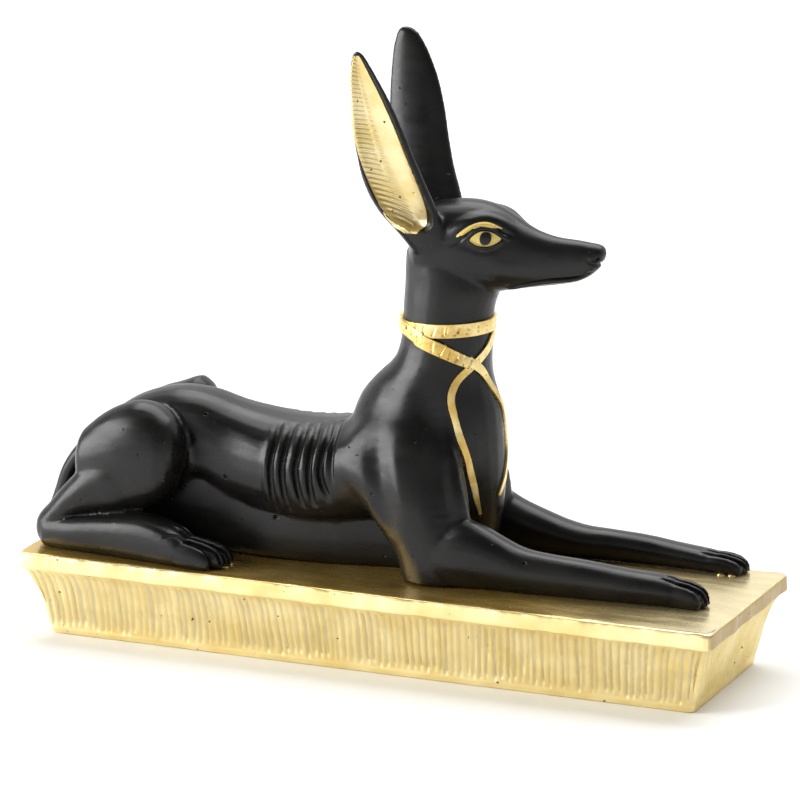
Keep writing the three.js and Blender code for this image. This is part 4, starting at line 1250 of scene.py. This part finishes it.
# Painted sheen: the top's colour turns paler towards the paws.
top = blend(tree, sheen_towards_paws, top, (0.85, 0.72, 0.42))
# Painted shade: the band on the front end is painted browner.
facing = tree.nodes.new("ShaderNodeTexCoord").outputs["Normal"]
shaded_end = above(tree, facing, "X", 0.6, 0.85)
on_band = above(tree, where, "Z", 0.0222, 0.0228)
sides = blend(tree, combine(tree, "MULTIPLY", shaded_end, on_band), sides, (0.46, 0.34, 0.165))
colour = blend(tree, on_top, sides, top)
colour = blend(tree, pits, (0.03, 0.022, 0.01), colour)
shader.inputs["Metallic"].default_value = 0.82
rough = blend(tree, on_top, ramp(tree, streaks, 0.3, 0.45), ramp(tree, streaks, 0.2, 0.32))
surface(tree, shader, colour, rough, (streaks, 0.00003), (grain, 0.00002), (pits, 0.0003))

# %% [markdown]
# The pupils are glossy, as if wet. One cloud pattern is enough for them, in colour, gloss and bump.

# %% Pupil
gloss, tree, shader, where = new_paint("glossy_black_paint")
cloud = noise(tree, where, 400, 2)
colour = blend(tree, ramp(tree, cloud, 0, 1), (0.006, 0.006, 0.006), (0.012, 0.011, 0.01))
surface(tree, shader, colour, ramp(tree, cloud, 0.08, 0.16), (cloud, 0.00001))

# %% [markdown]
# Each piece gets its paint and rides on the root, because nothing moves. The skin and the plinth stand in
# for the two castings of the solid model, which are hidden.

# %% Painting and fixing the pieces to the frame
for pieces, paint, slot in (
    ([jackal], black, "black_paint"), (pupils, gloss, "black_paint"),
    ([collar, near_band, far_band, drops], band_gold, "gold_paint"),
    (linings, ear_gold, "gold_paint"), (gold_eyes, eye_gold_brightened, "gold_paint"),
    ([plinth], plinth_gold, "gold_paint"),
):
    for piece in pieces:
        piece.data.materials.clear()
        piece.data.materials.append(paint)
        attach(piece, "root")
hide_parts("jackal")
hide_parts("plinth")
print("painted")

# %% [markdown]
# The picture is taken with a long lens from a little above, and from the right of the figure towards its
# front. The camera looks at a point over the middle of the plinth.

# %% Camera
AZIMUTH, ELEVATION = math.radians(22.827), math.radians(14.664)
DISTANCE = 1.7
AIM_HEIGHT = 0.07958
FOCAL_PIXELS, PICTURE_PIXELS = 5526.8, 800
SENSOR = 36
target = Vector((plinth_middle * MM, 0, AIM_HEIGHT))
flat = math.cos(ELEVATION)
away = Vector((math.sin(AZIMUTH) * flat, -math.cos(AZIMUTH) * flat, math.sin(ELEVATION)))
only()
bpy.ops.object.camera_add(location=target + away * DISTANCE, rotation=away.to_track_quat("Z", "Y").to_euler())
camera = bpy.context.object
camera.data.sensor_width = SENSOR
camera.data.lens = FOCAL_PIXELS / PICTURE_PIXELS * SENSOR
camera.data.clip_start = 0.05
camera.data.clip_end = 20
bpy.context.scene.camera = camera
print("lens:", round(camera.data.lens, 1), "mm")

# %% [markdown]
# A pale floor and a white room stand for a plain studio. The room is brightest behind the figure, less
# bright low down on the other sides and dim overhead. One wide light hangs high up beyond the figure,
# and another stands low at the left of the picture.

# %% Floor and light
only()
bpy.ops.mesh.primitive_plane_add(size=8, location=(0, 0, 0))
floor = bpy.context.object
floor.name = "floor"
pale, tree, shader, where = new_paint("pale_floor")
shade = noise(tree, where, 3, 2)
tree.links.new(blend(tree, shade, (0.86, 0.86, 0.86), (0.9, 0.9, 0.9)), shader.inputs["Base Color"])
shader.inputs["Roughness"].default_value = 0.9
floor.data.materials.append(pale)

world = bpy.data.worlds.new("studio")
world.use_nodes = True
tree = world.node_tree
tree.nodes["Background"].inputs["Color"].default_value = (1, 1, 1, 1)
direction = tree.nodes.new("ShaderNodeSeparateXYZ")
tree.links.new(tree.nodes.new("ShaderNodeTexCoord").outputs["Generated"], direction.inputs["Vector"])
behind = ramp(tree, direction.outputs["Y"], 0, 1, -0.2, 0.5)
low = ramp(tree, direction.outputs["Z"], 0.75, 0.12, 0.05, 0.55)
tree.links.new(combine(tree, "MAXIMUM", behind, low), tree.nodes["Background"].inputs["Strength"])
bpy.context.scene.world = world
bpy.context.scene.view_settings.view_transform = "Standard"


def soft_light(name, place, aim, size, power):
    only()
    way = Vector(place) - Vector(aim)
    bpy.ops.object.light_add(type="AREA", location=place, rotation=way.to_track_quat("Z", "Y").to_euler())
    light = bpy.context.object
    light.name = name
    light.data.shape = "RECTANGLE"
    light.data.size, light.data.size_y = size
    light.data.energy = power


soft_light("top light", (0, 0.65, 1.5), (0, 0, 0.05), (1.8, 1.2), 27)
soft_light("left light", (-1.3, -0.8, 0.55), (0, 0, 0.08), (1.2, 1.1), 37)
print("lights set")

# %% [markdown]
# Last, the view layer is updated, so that every piece stands at its place.

# %% Last update
bpy.context.view_layer.update()
